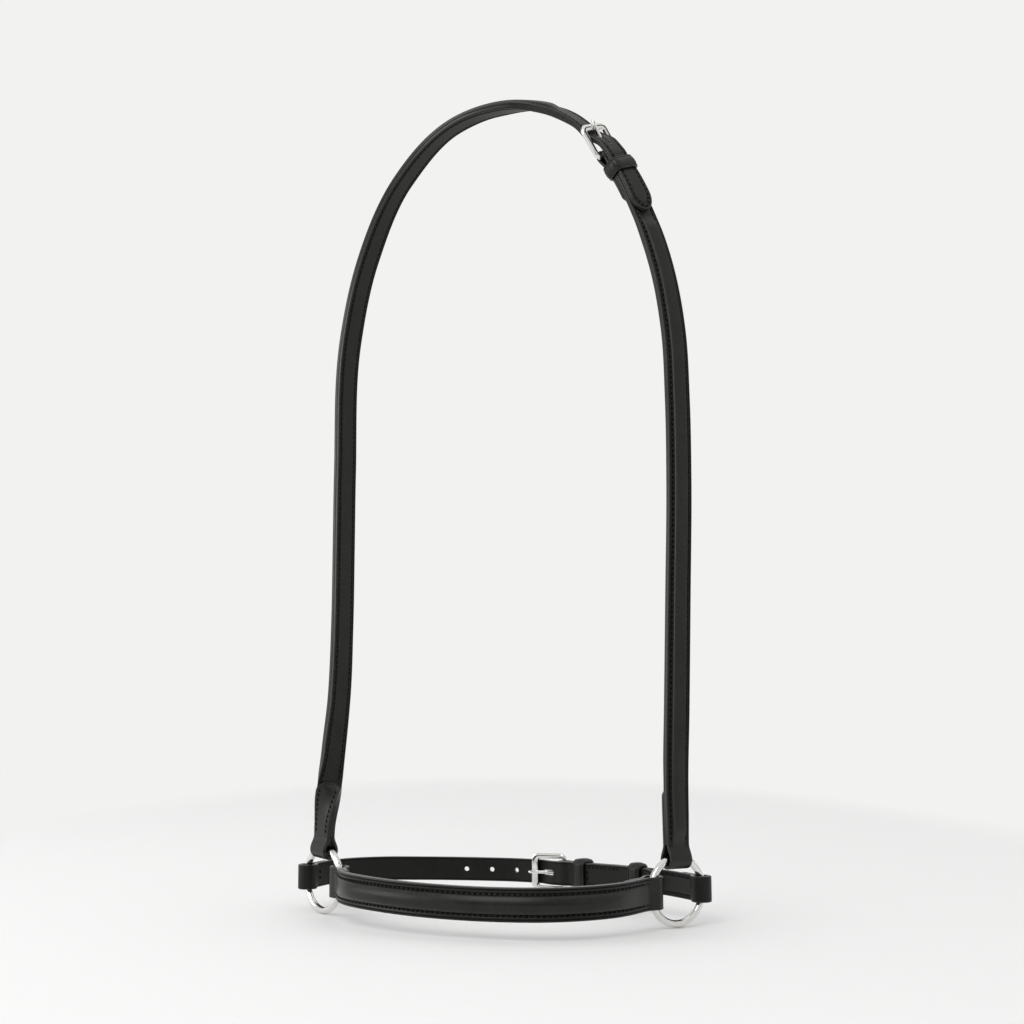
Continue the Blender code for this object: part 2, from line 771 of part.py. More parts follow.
def cheek_strap(route, seat, finishes):
    """The short strap from the crown buckle down to the right ring."""
    heel_fold = cheek_fold(route, seat.mark, -1.0, HEEL_RADIUS, 0.0)
    ring_fold = cheek_fold(route, route.length, 1.0, WIRE_RADIUS + RING_PLAY, wire_bow(STRAP_WIDTH))
    billet_end = seat.mark + CROWN_BILLET_REACH
    raise_start = billet_end + RAISE_REST

    def face_depth(mark):
        return skived(mark, ((seat.mark, billet_end, FOLD_PLY), (ring_fold.throat, route.length, FOLD_PLY)),
                      FACE_PLY)

    def lining_depth(mark):
        return skived(mark, ((seat.mark, billet_end, FOLD_LINING),
                             (route.length - TURN_BACK, route.length, FOLD_LINING)), LINING_PLY)

    def lift(mark):
        return raised(mark, raise_start, ring_fold.throat, CROWN_RAISE)

    stops = (heel_fold.throat, billet_end) + fade_stops(raise_start, ring_fold.throat)
    face = long_ply("cheek_strap_face", face_section, finishes["leather"], (
        list(reversed(fold_stations(heel_fold, BUCKLE_TURN_BACK, STRAP_WIDTH))),
        run_stations(route, stops, level, face_depth, STRAP_WIDTH, lift, 1.0)[1:-1],
        fold_stations(ring_fold, TURN_BACK, STRAP_WIDTH),
    ))
    cut(face, fold_slot("crown_fold_cutter", seat, heel_fold.inner_radius, finishes["leather"]))
    long_ply("cheek_strap_lining", lining_section, finishes["lining"], (
        run_stations(route, stops, level, lining_depth, STRAP_WIDTH, side=-1.0),
    ))
    padding("cheek_strap_padding", route, raise_start, ring_fold.throat, STRAP_WIDTH, lift, finishes["padding"])


def nosepiece(finishes):
    """The padded front band, turned back on both rings."""
    route = level_route(NOSE_LINE_SHARES, NOSE_DEPTH, -1.0, NOSE_WIDTH, fold_middle(FOLD_PLY, FOLD_LINING))
    bow = wire_bow(NOSE_WIDTH)
    left = cheek_fold(route, 0.0, -1.0, WIRE_RADIUS + RING_PLAY, bow)
    right = cheek_fold(route, route.length, 1.0, WIRE_RADIUS + RING_PLAY, bow)

    def face_depth(mark):
        return skived(mark, ((0.0, left.throat, FOLD_PLY), (right.throat, route.length, FOLD_PLY)), FACE_PLY)

    def lining_depth(mark):
        return skived(mark, ((0.0, NOSE_TURN_BACK, FOLD_LINING),
                             (route.length - NOSE_TURN_BACK, route.length, FOLD_LINING)), LINING_PLY)

    def lift(mark):
        return raised(mark, left.throat, right.throat, NOSE_RAISE)

    stops = fade_stops(left.throat, right.throat)
    long_ply("nosepiece_face", face_section, finishes["leather"], (
        list(reversed(fold_stations(left, NOSE_TURN_BACK, NOSE_WIDTH))),
        run_stations(route, stops, level, face_depth, NOSE_WIDTH, lift, 1.0)[1:-1],
        fold_stations(right, NOSE_TURN_BACK, NOSE_WIDTH),
    ))
    long_ply("nosepiece_lining", flat_section, finishes["lining"], (
        run_stations(route, stops, level, lining_depth, NOSE_WIDTH, side=-1.0),
    ))
    padding("nosepiece_padding", route, left.throat, right.throat, NOSE_WIDTH, lift, finishes["padding"])


def chin_straps(route, seat, finishes):
    """The two halves of the chin strap: the billet from the left, the buckle half from the right."""
    bow = wire_bow(STRAP_WIDTH)
    left = chin_fold(route, 0.0, -1.0, WIRE_RADIUS + RING_PLAY, bow)
    heel_fold = chin_fold(route, seat.mark, -1.0, HEEL_RADIUS, 0.0)
    right = chin_fold(route, route.length, 1.0, WIRE_RADIUS + RING_PLAY, bow)
    tip = seat.mark + CHIN_BILLET_REACH

    def billet_depth(mark):
        return skived(mark, ((0.0, CHIN_TURN_BACK, CHIN_FOLD_PLY),), CHIN_PLY)

    def buckle_depth(mark):
        return CHIN_FOLD_PLY

    billet = long_ply("chin_billet_strap", flat_section, finishes["leather"], (
        list(reversed(fold_stations(left, CHIN_TURN_BACK, STRAP_WIDTH))),
        run_stations(route, (left.throat,) + billet_stops(seat, tip), seat.billet_height, billet_depth,
                     STRAP_WIDTH)[1:],
        tip_stations(route, seat.billet_height, tip, STRAP_WIDTH, CHIN_PLY),
    ))
    used = seat.mark - CREW_HOLE_SHARE * BUCKLE_LENGTH
    cut(billet, capsule_cutter("chin_hole_cutter", route, used, CREW_HOLE,
                               TONGUE_WIDTH + 2.0 * HOLE_CLEARANCE, finishes["leather"]))
    for index in range(1, SPARE_HOLES + 1):
        cut(billet, capsule_cutter("chin_spare_hole_cutter_%d" % index, route, used - index * HOLE_PITCH,
                                   SPARE_HOLE, SPARE_HOLE, finishes["leather"]))
    buckle_half = long_ply("chin_buckle_strap", flat_section, finishes["leather"], (
        list(reversed(fold_stations(heel_fold, CHIN_TURN_BACK, STRAP_WIDTH))),
        run_stations(route, (heel_fold.throat, tip, right.throat), level, buckle_depth, STRAP_WIDTH)[1:-1],
        fold_stations(right, CHIN_TURN_BACK, STRAP_WIDTH),
    ))
    cut(buckle_half, fold_slot("chin_fold_cutter", seat, heel_fold.inner_radius, finishes["leather"]))


def ring(name, side, finish):
    """A round ring of drawn wire, standing in its turned upright plane."""
    centre = ring_centre(side)
    level = ring_direction(side)
    normal = np.cross(level, UP)
    rows = []
    for step in range(RING_STEPS):
        turn = 2.0 * math.pi * step / RING_STEPS
        spoke = level * math.cos(turn) + UP * math.sin(turn)
        row = []
        for side_step in range(RING_SIDES):
            roll = 2.0 * math.pi * side_step / RING_SIDES
            row.append(centre + spoke * (RING_RADIUS + WIRE_RADIUS * math.cos(roll))
                       + normal * (WIRE_RADIUS * math.sin(roll)))
        rows.append(row)
    return loop_sweep(name, rows, finish, centre)


def frame_path():
    """Walk round a buckle frame: place across, place up the frame and the angle that faces out."""
    side = (BUCKLE_INNER_WIDTH + BAR_WIDTH) / 2.0
    corners = (
        (side - HEEL_CORNER, HEEL_CORNER, HEEL_CORNER, -90),
        (side - BUCKLE_CORNER, BUCKLE_LENGTH - BUCKLE_CORNER, BUCKLE_CORNER, 0),
        (BUCKLE_CORNER - side, BUCKLE_LENGTH - BUCKLE_CORNER, BUCKLE_CORNER, 90),
        (HEEL_CORNER - side, HEEL_CORNER, HEEL_CORNER, 180),
    )
    corner_steps = 4
    for across, up, radius, start in corners:
        for step in range(corner_steps + 1):
            angle = math.radians(start + 90.0 * step / corner_steps)
            yield across + radius * math.cos(angle), up + radius * math.sin(angle), angle


def buckle_frame(name, seat, finish):
    """A cast frame: a round heel bar in the fold, flatter side bars and a broad far bar."""
    rows = []
    for across, up, angle in frame_path():
        share = smooth_step(up / (2.0 * HEEL_CORNER))
        bar_width = BAR_WIDTH + (FAR_BAR_WIDTH - BAR_WIDTH) * smooth_step(math.sin(angle))
        half_width = HEEL_RADIUS + (bar_width / 2.0 - HEEL_RADIUS) * share
        half_depth = HEEL_RADIUS + (BAR_DEPTH / 2.0 - HEEL_RADIUS) * share
        centre = seat.heel + seat.across * across + seat.line * up
        out = seat.across * math.cos(angle) + seat.line * math.sin(angle)
        row = []
        for step in range(FRAME_SIDES):
            roll = 2.0 * math.pi * step / FRAME_SIDES
            row.append(centre + out * (half_width * math.cos(roll)) + seat.outer * (half_depth * math.sin(roll)))
        rows.append(row)
    return loop_sweep(name, rows, finish, seat.heel)


def buckle_tongue(name, seat, finish):
    """The pin of a buckle: an eye round the heel bar and a shank that rests on the far bar."""
    target = seat.far + seat.outer * (BAR_DEPTH / 2.0 + SEAT_GAP + TONGUE_DEPTH / 2.0)
    line = unit(target - seat.heel)
    lift = unit(np.cross(seat.across, line))
    if np.dot(lift, seat.outer) < 0.0:
        lift = -lift
    eye = HEEL_RADIUS + PIN_CLEARANCE + EYE_WALL
    half = TONGUE_DEPTH / 2.0
    length = float(np.linalg.norm(target - seat.heel)) + FAR_BAR_WIDTH / 2.0 + TONGUE_OVERHANG
    neck = math.asin(half / eye)
    outline = [(length, -half / 2.0), (length, half / 2.0), (length - half, half)]
    eye_steps = 14
    for step in range(eye_steps + 1):
        angle = neck + (2.0 * math.pi - 2.0 * neck) * step / eye_steps
        outline.append((eye * math.cos(angle), eye * math.sin(angle)))
    outline.append((length - half, -half))
    points = [seat.heel + line * along + lift * up for along, up in outline]
    tongue = prism(name, points, seat.across, -TONGUE_WIDTH / 2.0, TONGUE_WIDTH / 2.0, finish, seat.heel)
    bore_steps = 16
    bore = []
    for step in range(bore_steps):
        angle = 2.0 * math.pi * step / bore_steps
        spoke = line * math.cos(angle) + lift * math.sin(angle)
        bore.append(seat.heel + spoke * (HEEL_RADIUS + PIN_CLEARANCE))
    cut(tongue, prism(name + "_bore_cutter", bore, seat.across, -TONGUE_WIDTH, TONGUE_WIDTH, finish))
    return tongue


def keeper(name, route, mark, low, high, clearance, finish):
    """A leather loop round the strap, from its lowest to its highest ply."""
    place, line, across, outer = route.frame(mark)
    centre = place + outer * ((low + high) / 2.0)
    half_width = STRAP_WIDTH / 2.0 + clearance
    half_height = (high - low) / 2.0 + clearance
    rows = []
    corner_steps = 3
    for quarter, (side, rise) in enumerate(((1, 1), (-1, 1), (-1, -1), (1, -1))):
        for step in range(corner_steps + 1):
            angle = math.radians(90.0 * quarter + 90.0 * step / corner_steps)
            spoke = across * math.cos(angle) + outer * math.sin(angle)
            inner = (centre + across * (side * (half_width - KEEPER_CORNER))
                     + outer * (rise * (half_height - KEEPER_CORNER)) + spoke * KEEPER_CORNER)
            skin = inner + spoke * KEEPER_WALL
            half = line * (KEEPER_LENGTH / 2.0)
            rows.append([skin - half, skin + half, inner + half, inner - half])
    return loop_sweep(name, rows, finish, centre)


def main():
    """Build the noseband."""
    clear_scene()
    finishes = {
        "leather": material("black_leather", (0.018, 0.017, 0.016), 0.45, 0.0),
        "lining": material("lining_leather", (0.022, 0.020, 0.019), 0.60, 0.0),
        "padding": material("felt_padding", (0.030, 0.030, 0.030), 0.90, 0.0),
        "steel": material("polished_steel", (0.78, 0.77, 0.75), 0.18, 1.0),
    }
    crown = crown_route()
    billet_stack = 2.0 * BILLET_PLY + PLY_GAP
    fold_outer = HEEL_RADIUS + LOOP_CLEARANCE + FOLD_PLY
    middle = fold_middle(FOLD_PLY, FOLD_LINING)
    crown_seat = BuckleSeat(crown, crown.length - CROWN_BUCKLE_BACK, middle, middle + fold_outer,
                            PLY_GAP / 2.0 + FOLD_PLY, billet_stack, billet_stack / 2.0)
    crown_strap(crown, crown_seat, finishes)
    cheek_strap(crown, crown_seat, finishes)
    nosepiece(finishes)

    chin_middle = fold_middle(CHIN_FOLD_PLY, 0.0)
    chin = level_route(CHIN_LINE_SHARES, CHIN_DEPTH, 1.0, STRAP_WIDTH, chin_middle)
    chin_outer = HEEL_RADIUS + LOOP_CLEARANCE + CHIN_FOLD_PLY
    chin_seat = BuckleSeat(chin, chin.length - CHIN_BUCKLE_BACK, chin_middle, chin_middle + chin_outer,
                           CHIN_FOLD_PLY / 2.0, CHIN_PLY, CHIN_PLY / 2.0)
    chin_straps(chin, chin_seat, finishes)

    ring("left_ring", -1.0, finishes["steel"])
    ring("right_ring", 1.0, finishes["steel"])
    for name, seat in (("crown", crown_seat), ("chin", chin_seat)):
        buckle_frame(name + "_buckle_frame", seat, finishes["steel"])
        buckle_tongue(name + "_buckle_tongue", seat, finishes["steel"])
    crown_low = -(PLY_GAP / 2.0 + FOLD_LINING + PLY_GAP + FOLD_PLY)
    crown_high = crown_seat.lie + billet_stack / 2.0
    chin_high = chin_seat.lie + CHIN_PLY / 2.0
    chin_low = -CHIN_FOLD_PLY / 2.0
    keeper("crown_keeper", crown, crown_seat.mark + CROWN_KEEPER_REACH, crown_low, crown_high,
           KEEPER_CLEARANCE, finishes["leather"])
    keeper("chin_keeper_fixed", chin, chin_seat.mark + CHIN_KEEPER_REACH,
           chin_low - PLY_GAP - CHIN_FOLD_PLY, chin_high, KEEPER_CLEARANCE, finishes["leather"])
    keeper("chin_keeper_running", chin, chin_seat.mark + CHIN_RUNNER_REACH, chin_low, chin_high,
           RUNNER_CLEARANCE, finishes["leather"])


main()
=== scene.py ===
"""Studio scene of a black bridle noseband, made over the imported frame.

Every strap, keeper, ring and buckle is rebuilt finely at the place of its solid: folded leather
plies with burnished edges, creases, a raised centre and waxed stitches, and polished steel.
Units are metres, +Z is up, and -Y is the front, where the nosepiece is.
"""

import logging
import math
from dataclasses import dataclass, field
from enum import Enum
from typing import Callable, Iterator, NamedTuple, Sequence

import bmesh
import bpy
import numpy as np
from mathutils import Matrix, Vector

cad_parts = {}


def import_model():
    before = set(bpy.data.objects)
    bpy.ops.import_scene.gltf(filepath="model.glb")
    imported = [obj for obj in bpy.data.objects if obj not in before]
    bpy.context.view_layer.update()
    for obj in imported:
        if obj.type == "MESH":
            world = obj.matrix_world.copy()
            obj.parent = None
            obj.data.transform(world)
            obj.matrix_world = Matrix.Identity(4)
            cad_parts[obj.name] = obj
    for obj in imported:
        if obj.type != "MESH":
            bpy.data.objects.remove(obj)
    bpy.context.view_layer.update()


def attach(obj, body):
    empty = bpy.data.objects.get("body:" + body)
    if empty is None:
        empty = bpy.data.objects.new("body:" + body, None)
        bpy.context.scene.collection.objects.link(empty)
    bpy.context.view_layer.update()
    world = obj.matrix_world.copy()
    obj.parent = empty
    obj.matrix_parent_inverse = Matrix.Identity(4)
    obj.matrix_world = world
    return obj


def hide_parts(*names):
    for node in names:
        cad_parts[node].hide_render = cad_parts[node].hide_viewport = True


LOG = logging.getLogger("noseband")
UP = np.array([0.0, 0.0, 1.0])
Array = np.ndarray
Measure = Callable[[float], float]
Path = list[tuple[float, float]]
Point = tuple[float, float, float]
Face = tuple[int, ...]
Stretch = tuple[float, float, float]
Values = dict[str | int, object]
Material = bpy.types.Material
Object = bpy.types.Object
Socket = bpy.types.NodeSocket


class Skin(Enum):
    """Which finish a stretch of a strap's outline takes, by material slot."""

    GRAIN = 0
    EDGE = 1


class Side(Enum):
    """Side of the picture on which a ring hangs."""

    LEFT = -1
    RIGHT = 1


class Row(Enum):
    """Which way a stitched surface faces on its ply."""

    TOP = 1
    BOTTOM = -1


@dataclass(frozen=True)
class Noseband:
    """Places and angles of the whole noseband."""

    ring_half_span: float = 0.116
    poll_drop: float = 0.5102
    nose_depth: float = 0.076
    chin_depth: float = 0.100
    left_ring_turn: float = math.radians(55.0)
    right_ring_turn: float = math.radians(44.0)
    ring_inner_radius: float = 0.0175
    ring_wire: float = 0.0045
    floor_drop: float = 0.5322
    crown_buckle_back: float = 0.4630
    chin_buckle_back: float = 0.1270
    crown_keeper_reach: float = 0.0125
    chin_keeper_reach: float = 0.0185
    chin_runner_reach: float = 0.066

    @property
    def wire_radius(self) -> float:
        """Radius of the ring's wire."""
        return self.ring_wire / 2.0

    @property
    def ring_radius(self) -> float:
        """Radius of the ring to the middle of its wire."""
        return self.ring_inner_radius + self.wire_radius

    def ring_direction(self, side: Side) -> Array:
        """Return the level direction in a ring's plane, from the nosepiece to the chin."""
        turn = self.left_ring_turn if side is Side.LEFT else self.right_ring_turn
        return np.array([side.value * math.sin(turn), math.cos(turn), 0.0])

    def ring_centre(self, side: Side) -> Array:
        """Return the centre of a ring."""
        return np.array([side.value * self.ring_half_span, 0.0, -self.poll_drop])

    def wire_bow(self, width: float) -> float:
        """Return how far a ring's wire bows across the width of a strap."""
        return self.ring_radius - math.sqrt(self.ring_radius ** 2 - (width / 2.0) ** 2)

    def wire_place(self, side: Side, direction: Array, width: float) -> Array:
        """Return the middle of the wire that a strap of this width goes round."""
        return self.ring_centre(side) + direction * (self.ring_radius - self.wire_bow(width) / 2.0)


@dataclass(frozen=True)
class Gauge:
    """Thicknesses and allowances of the leather, as the solids have them."""

    strap_width: float = 0.016
    nose_width: float = 0.0195
    face_ply: float = 0.0024
    lining_ply: float = 0.0022
    fold_ply: float = 0.0019
    fold_lining: float = 0.0016
    billet_ply: float = 0.0016
    chin_ply: float = 0.0030
    chin_fold_ply: float = 0.0024
    ply_gap: float = 0.0003
    seam: float = 0.00002
    crown_raise: float = 0.0019
    nose_raise: float = 0.0026
    skive: float = 0.020
    turn_back: float = 0.044
    buckle_turn_back: float = 0.038
    nose_turn_back: float = 0.030
    chin_turn_back: float = 0.028
    loop_throat: float = 0.009
    raise_rest: float = 0.002
    raise_fade: float = 0.010
    loop_clearance: float = 0.0004
    ring_play: float = 0.0005
    billet_tip: float = 0.013
    turned_end: float = 0.006
    row_gap: float = 0.002
    bend_gap: float = 0.003
    keeper_play: float = 0.0004
    runner_play: float = 0.0007

    def base_height(self, depth: float, side: float) -> float:
        """Return the height of a ply's middle over (1) or under (-1) the line."""
        return side * (self.ply_gap + depth) / 2.0

    @property
    def crown_seat(self) -> float:
        """Height of the line over the crown's inner face."""
        return self.ply_gap / 2.0 + self.lining_ply


BAND = Noseband()
HIDE = Gauge()


def smooth_step(value: float) -> float:
    """Ease from 0 to 1 with level ends."""
    value = min(max(value, 0.0), 1.0)
    return value * value * (3.0 - 2.0 * value)


def hump(value: float) -> float:
    """Return a smooth bump that is 1 at 0 and 0 from 1 outwards."""
    return (1.0 - value * value) ** 2 if abs(value) < 1.0 else 0.0


def constant(value: float) -> Measure:
    """Return a measure that stays the same all along a strap."""
    return lambda mark: value


def unit(vector: Array) -> Array:
    """Return the vector at length one."""
    return vector / np.linalg.norm(vector)


def square_to(vector: Array, axis: Array) -> Array:
    """Return the part of a vector that is square to an axis, at length one."""
    return unit(vector - axis * np.dot(vector, axis))


def sample(mark: float, marks: Array, table: Array) -> Array:
    """Read a table of vectors at one arc length."""
    return np.array([np.interp(mark, marks, column) for column in table.T])


def full_turn(steps: int) -> Array:
    """Return the angles of even steps round a circle."""
    return 2.0 * math.pi * np.arange(steps) / steps


def arc(start: float, end: float, steps: int) -> Array:
    """Return even angles from one angle in degrees to another, both included."""
    return np.radians(np.linspace(start, end, steps + 1))


def squared_round(sides: int, power: float = 1.0) -> Path:
    """Return the corners of a round (power 1) or squarer outline that reaches 1 each way."""
    return [(math.copysign(abs(math.cos(roll)) ** power, math.cos(roll)),
             math.copysign(abs(math.sin(roll)) ** power, math.sin(roll))) for roll in full_turn(sides)]


class StrapLine:
    """A strap's middle line with its outer face direction, measured by arc length."""

    DENSE = 40

    def __init__(self, points: Sequence[Array], faces: Sequence[Array], longest: float = 0.006,
                 turn: float = math.radians(3.0)) -> None:
        """Run a smooth curve through the points.

        Args:
            points: places along the line.
            faces: outer direction at each place.
            longest: longest step between two sections.
            turn: largest bend or twist between two sections.
        """
        knots = np.array(points, dtype=float)
        outers = np.array([unit(np.array(face, dtype=float)) for face in faces])
        ways = self._knot_ways(knots)
        share = np.arange(self.DENSE)[:, None] / self.DENSE
        ease = share * share * (3.0 - 2.0 * share)
        places = []
        directions = []
        for index, run in enumerate(np.diff(knots, axis=0)):
            bulge = (ways[index] * (1.0 - share) - ways[index + 1] * share) * share * (1.0 - share)
            places.append(knots[index] + run * ease + bulge * np.linalg.norm(run))
            directions.append(outers[index] + (outers[index + 1] - outers[index]) * ease)
        self.places = np.vstack(places + [knots[-1:]])
        self.directions = np.vstack(directions + [outers[-1:]])
        steps = np.linalg.norm(np.diff(self.places, axis=0), axis=1)
        self.marks = np.concatenate(([0.0], np.cumsum(steps)))
        self.length = float(self.marks[-1])
        self.lines = np.gradient(self.places, self.marks, axis=0)
        axes = np.array([self.frame(mark)[1::2] for mark in self.marks])
        bends = np.linalg.norm(np.diff(axes, axis=0), axis=2).sum(axis=1)
        self.cost = np.concatenate(([0.0], np.cumsum(bends / turn + steps / longest)))

    @staticmethod
    def _knot_ways(knots: Array) -> Array:
        """Give each knot a direction from its neighbours, the nearer one counting more.

        Args:
            knots: places along the line.

        Returns:
            A unit direction for each.
        """
        runs = np.diff(knots, axis=0)
        spans = np.linalg.norm(runs, axis=1)[:, None]
        ways = runs / spans
        inner = ways[:-1] * spans[1:] + ways[1:] * spans[:-1]
        return np.array([unit(way) for way in (ways[0], *inner, ways[-1])])

    def frame(self, mark: float) -> tuple[Array, Array, Array, Array]:
        """Find how the strap lies at an arc length.

        Args:
            mark: arc length from the line's start.

        Returns:
            The place, the direction along, the direction across and the outer direction.
        """
        inside = min(max(mark, 0.0), self.length)
        line = unit(sample(inside, self.marks, self.lines))
        place = sample(inside, self.marks, self.places) + line * (mark - inside)
        outer = square_to(sample(inside, self.marks, self.directions), line)
        return place, line, np.cross(line, outer), outer

    def at(self, mark: float, height: float) -> Array:
        """Return the point at a height over the line."""
        place, _, _, outer = self.frame(mark)
        return place + outer * height

    def marks_through(self, stops: Sequence[float]) -> list[float]:
        """Step through several stops, closer together where the strap bends.

        Args:
            stops: arc lengths that are met exactly.

        Returns:
            The arc lengths of all steps.
        """
        marks = [stops[0]]
        for start, end in zip(stops[:-1], stops[1:]):
            first, last = np.interp((start, end), self.marks, self.cost)
            inner = np.linspace(first, last, max(1, math.ceil(abs(last - first))) + 1)[1:-1]
            marks += [*np.interp(inner, self.cost, self.marks), end]
        return marks


@dataclass
class Station:
    """One cross-section of a ply.

    taper is 0 in the run and nears 1 at a rounded end. tooled is how deep creases and grooves are
    pressed, from 0 to 1.
    """

    mark: float
    place: Array
    across: Array
    up: Array
    width: float
    depth: float
    lift: float = 0.0
    taper: float = 0.0
    tooled: float = 1.0

    @property
    def half(self) -> float:
        """Half the section's own width."""
        return self.width / 2.0 * math.sqrt(1.0 - self.taper ** 2)

    def inset(self, place: float) -> float:
        """Return how far inside the ply's edge or rounded end a place across it lies."""
        nominal = self.width / 2.0
        return nominal * (1.0 - math.sqrt((place / nominal) ** 2 + self.taper ** 2))


@dataclass
class Ply:
    """One layer of leather along a line: its height, its thickness and its raised centre."""

    line: StrapLine
    height_of: Measure
    depth_of: Measure
    width: float
    side: float = 0.0
    lift_of: Measure = constant(0.0)
    flip: bool = False
    tooled_of: Measure = constant(1.0)
    PROBE = 0.0004
    CLOSED = math.radians(87.0)

    def station(self, mark: float, taper: float = 0.0) -> Station:
        """Make the section at an arc length, square to the ply's own slope.

        Args:
            mark: arc length along the line.
            taper: how far a rounded end has closed, from 0 to 1.

        Returns:
            The section.
        """
        place, _, across, outer = self.line.frame(mark)
        behind, ahead = (self.line.at(near, self.height_of(near))
                         for near in (mark - self.PROBE, mark + self.PROBE))
        up = square_to(outer, unit(ahead - behind))
        depth = self.depth_of(mark)
        middle = place + outer * self.height_of(mark) + up * HIDE.base_height(depth, self.side)
        return Station(mark, middle, across, -up if self.flip else up, self.width, depth,
                       self.lift_of(mark), taper, self.tooled_of(mark))

    def run(self, stops: Sequence[float]) -> list[Station]:
        """Return sections through the stops."""
        return [self.station(mark) for mark in self.line.marks_through(stops)]

    def rounded_end(self, end: float, way: float, length: float, count: int = 22) -> list[Station]:
        """Return sections that close like an ellipse to a tip that points along the line (1) or back (-1)."""
        tapers = np.sin(self.CLOSED * np.arange(1, count + 1) / count)
        return [self.station(end - way * length * (1.0 - taper), taper) for taper in tapers]


@dataclass(frozen=True)
class Leaves:
    """Thickness of a folded ply, and how high its main and its turned-back leaf lie over the line."""

    ply: float
    main_height: float
    back_height: float

    @property
    def middle(self) -> float:
        """Height of the fold's middle."""
        return (self.main_height + self.back_height) / 2.0


LINED = Leaves(HIDE.fold_ply, HIDE.base_height(HIDE.fold_ply, 1.0),
               -(HIDE.ply_gap / 2.0 + HIDE.fold_lining + HIDE.ply_gap + HIDE.fold_ply / 2.0))
SINGLE = Leaves(HIDE.chin_fold_ply, 0.0, -(HIDE.chin_fold_ply + HIDE.ply_gap))


@dataclass
class Fold:
    """The end of a strap turned back round a buckle's heel bar or a ring's wire.

    mark is the bar's arc length. way is 1 where the strap meets it at its line's end and -1 at its
    start. bar_radius is what the loop must clear, and bow is how far the bar bows inside the width.
    """

    line: StrapLine
    mark: float
    way: float
    leaves: Leaves
    width: float
    turn_back: float
    bar_radius: float
    bow: float = 0.0
    THROAT_STEPS = 14
    BEND_STEPS = 26
    END_STEPS = 12
    BACK_TOOLED = 0.4
    TOOLED_FROM, TOOLED_OVER = 0.45, 0.5
    END_THINNED = 0.7

    @property
    def throat(self) -> float:
        """Arc length at which the loop begins to open."""
        return self.mark - self.way * HIDE.loop_throat

    @property
    def radius(self) -> float:
        """Radius of the bend to the middle of the ply."""
        return self.bar_radius + self.bow / 2.0 + HIDE.loop_clearance + self.leaves.ply / 2.0

    def height(self, mark: float, side: float) -> float:
        """Find how high a leaf lies over the line as it nears the loop.

        Args:
            mark: arc length.
            side: 1 for the main leaf and -1 for the turned-back one.

        Returns:
            The height of its middle.
        """
        base = self.leaves.main_height if side > 0 else self.leaves.back_height
        loop = self.leaves.middle + side * self.radius
        return base + (loop - base) * smooth_step(1.0 - self.way * (self.mark - mark) / HIDE.loop_throat)

    def tooled(self, mark: float) -> float:
        """Return how deep the tooling is, which fades out towards the bend."""
        away = self.way * (self.mark - mark) / HIDE.loop_throat
        return smooth_step((away - self.TOOLED_FROM) / self.TOOLED_OVER)

    def leaf(self, side: float) -> Ply:
        """Return the fold's main (1) or turned-back (-1) leaf as a ply."""
        share = 1.0 if side > 0 else self.BACK_TOOLED
        return Ply(self.line, lambda mark: self.height(mark, side), constant(self.leaves.ply), self.width,
                   flip=side < 0, tooled_of=lambda mark: share * self.tooled(mark))

    def stations(self) -> list[Station]:
        """Lay throat, bend and turned-back leaf.

        Returns:
            Their sections, in the line's own order.
        """
        main, back = self.leaf(1.0), self.leaf(-1.0)
        marks = np.linspace(self.throat, self.mark, self.THROAT_STEPS + 1)
        made = [main.station(mark) for mark in marks]
        place, line, across, outer = self.line.frame(self.mark)
        centre = place + outer * self.leaves.middle
        for angle in arc(0.0, 180.0, self.BEND_STEPS)[1:-1]:
            up = outer * math.cos(angle) + line * (self.way * math.sin(angle))
            made.append(Station(self.mark, centre + up * self.radius, across, up, self.width,
                                self.leaves.ply, tooled=0.0))
        made += [back.station(mark) for mark in reversed(marks)]
        end = self.mark - self.way * self.turn_back
        made += back.run((self.throat, end + self.way * HIDE.turned_end))[1:]
        for station in back.rounded_end(end, -self.way, HIDE.turned_end, self.END_STEPS):
            thin = 1.0 - self.END_THINNED * station.taper ** 2
            station.place = station.place - station.up * (station.depth * (1.0 - thin) / 2.0)
            station.depth *= thin
            made.append(station)
        return made if self.way > 0 else made[::-1]


def ring_fold(line: StrapLine, way: float, leaves: Leaves, width: float, turn_back: float) -> Fold:
    """Return the fold round the ring at the start (-1) or the end (1) of a line."""
    return Fold(line, 0.0 if way < 0 else line.length, way, leaves, width, turn_back,
                BAND.wire_radius + HIDE.ring_play, BAND.wire_bow(width))


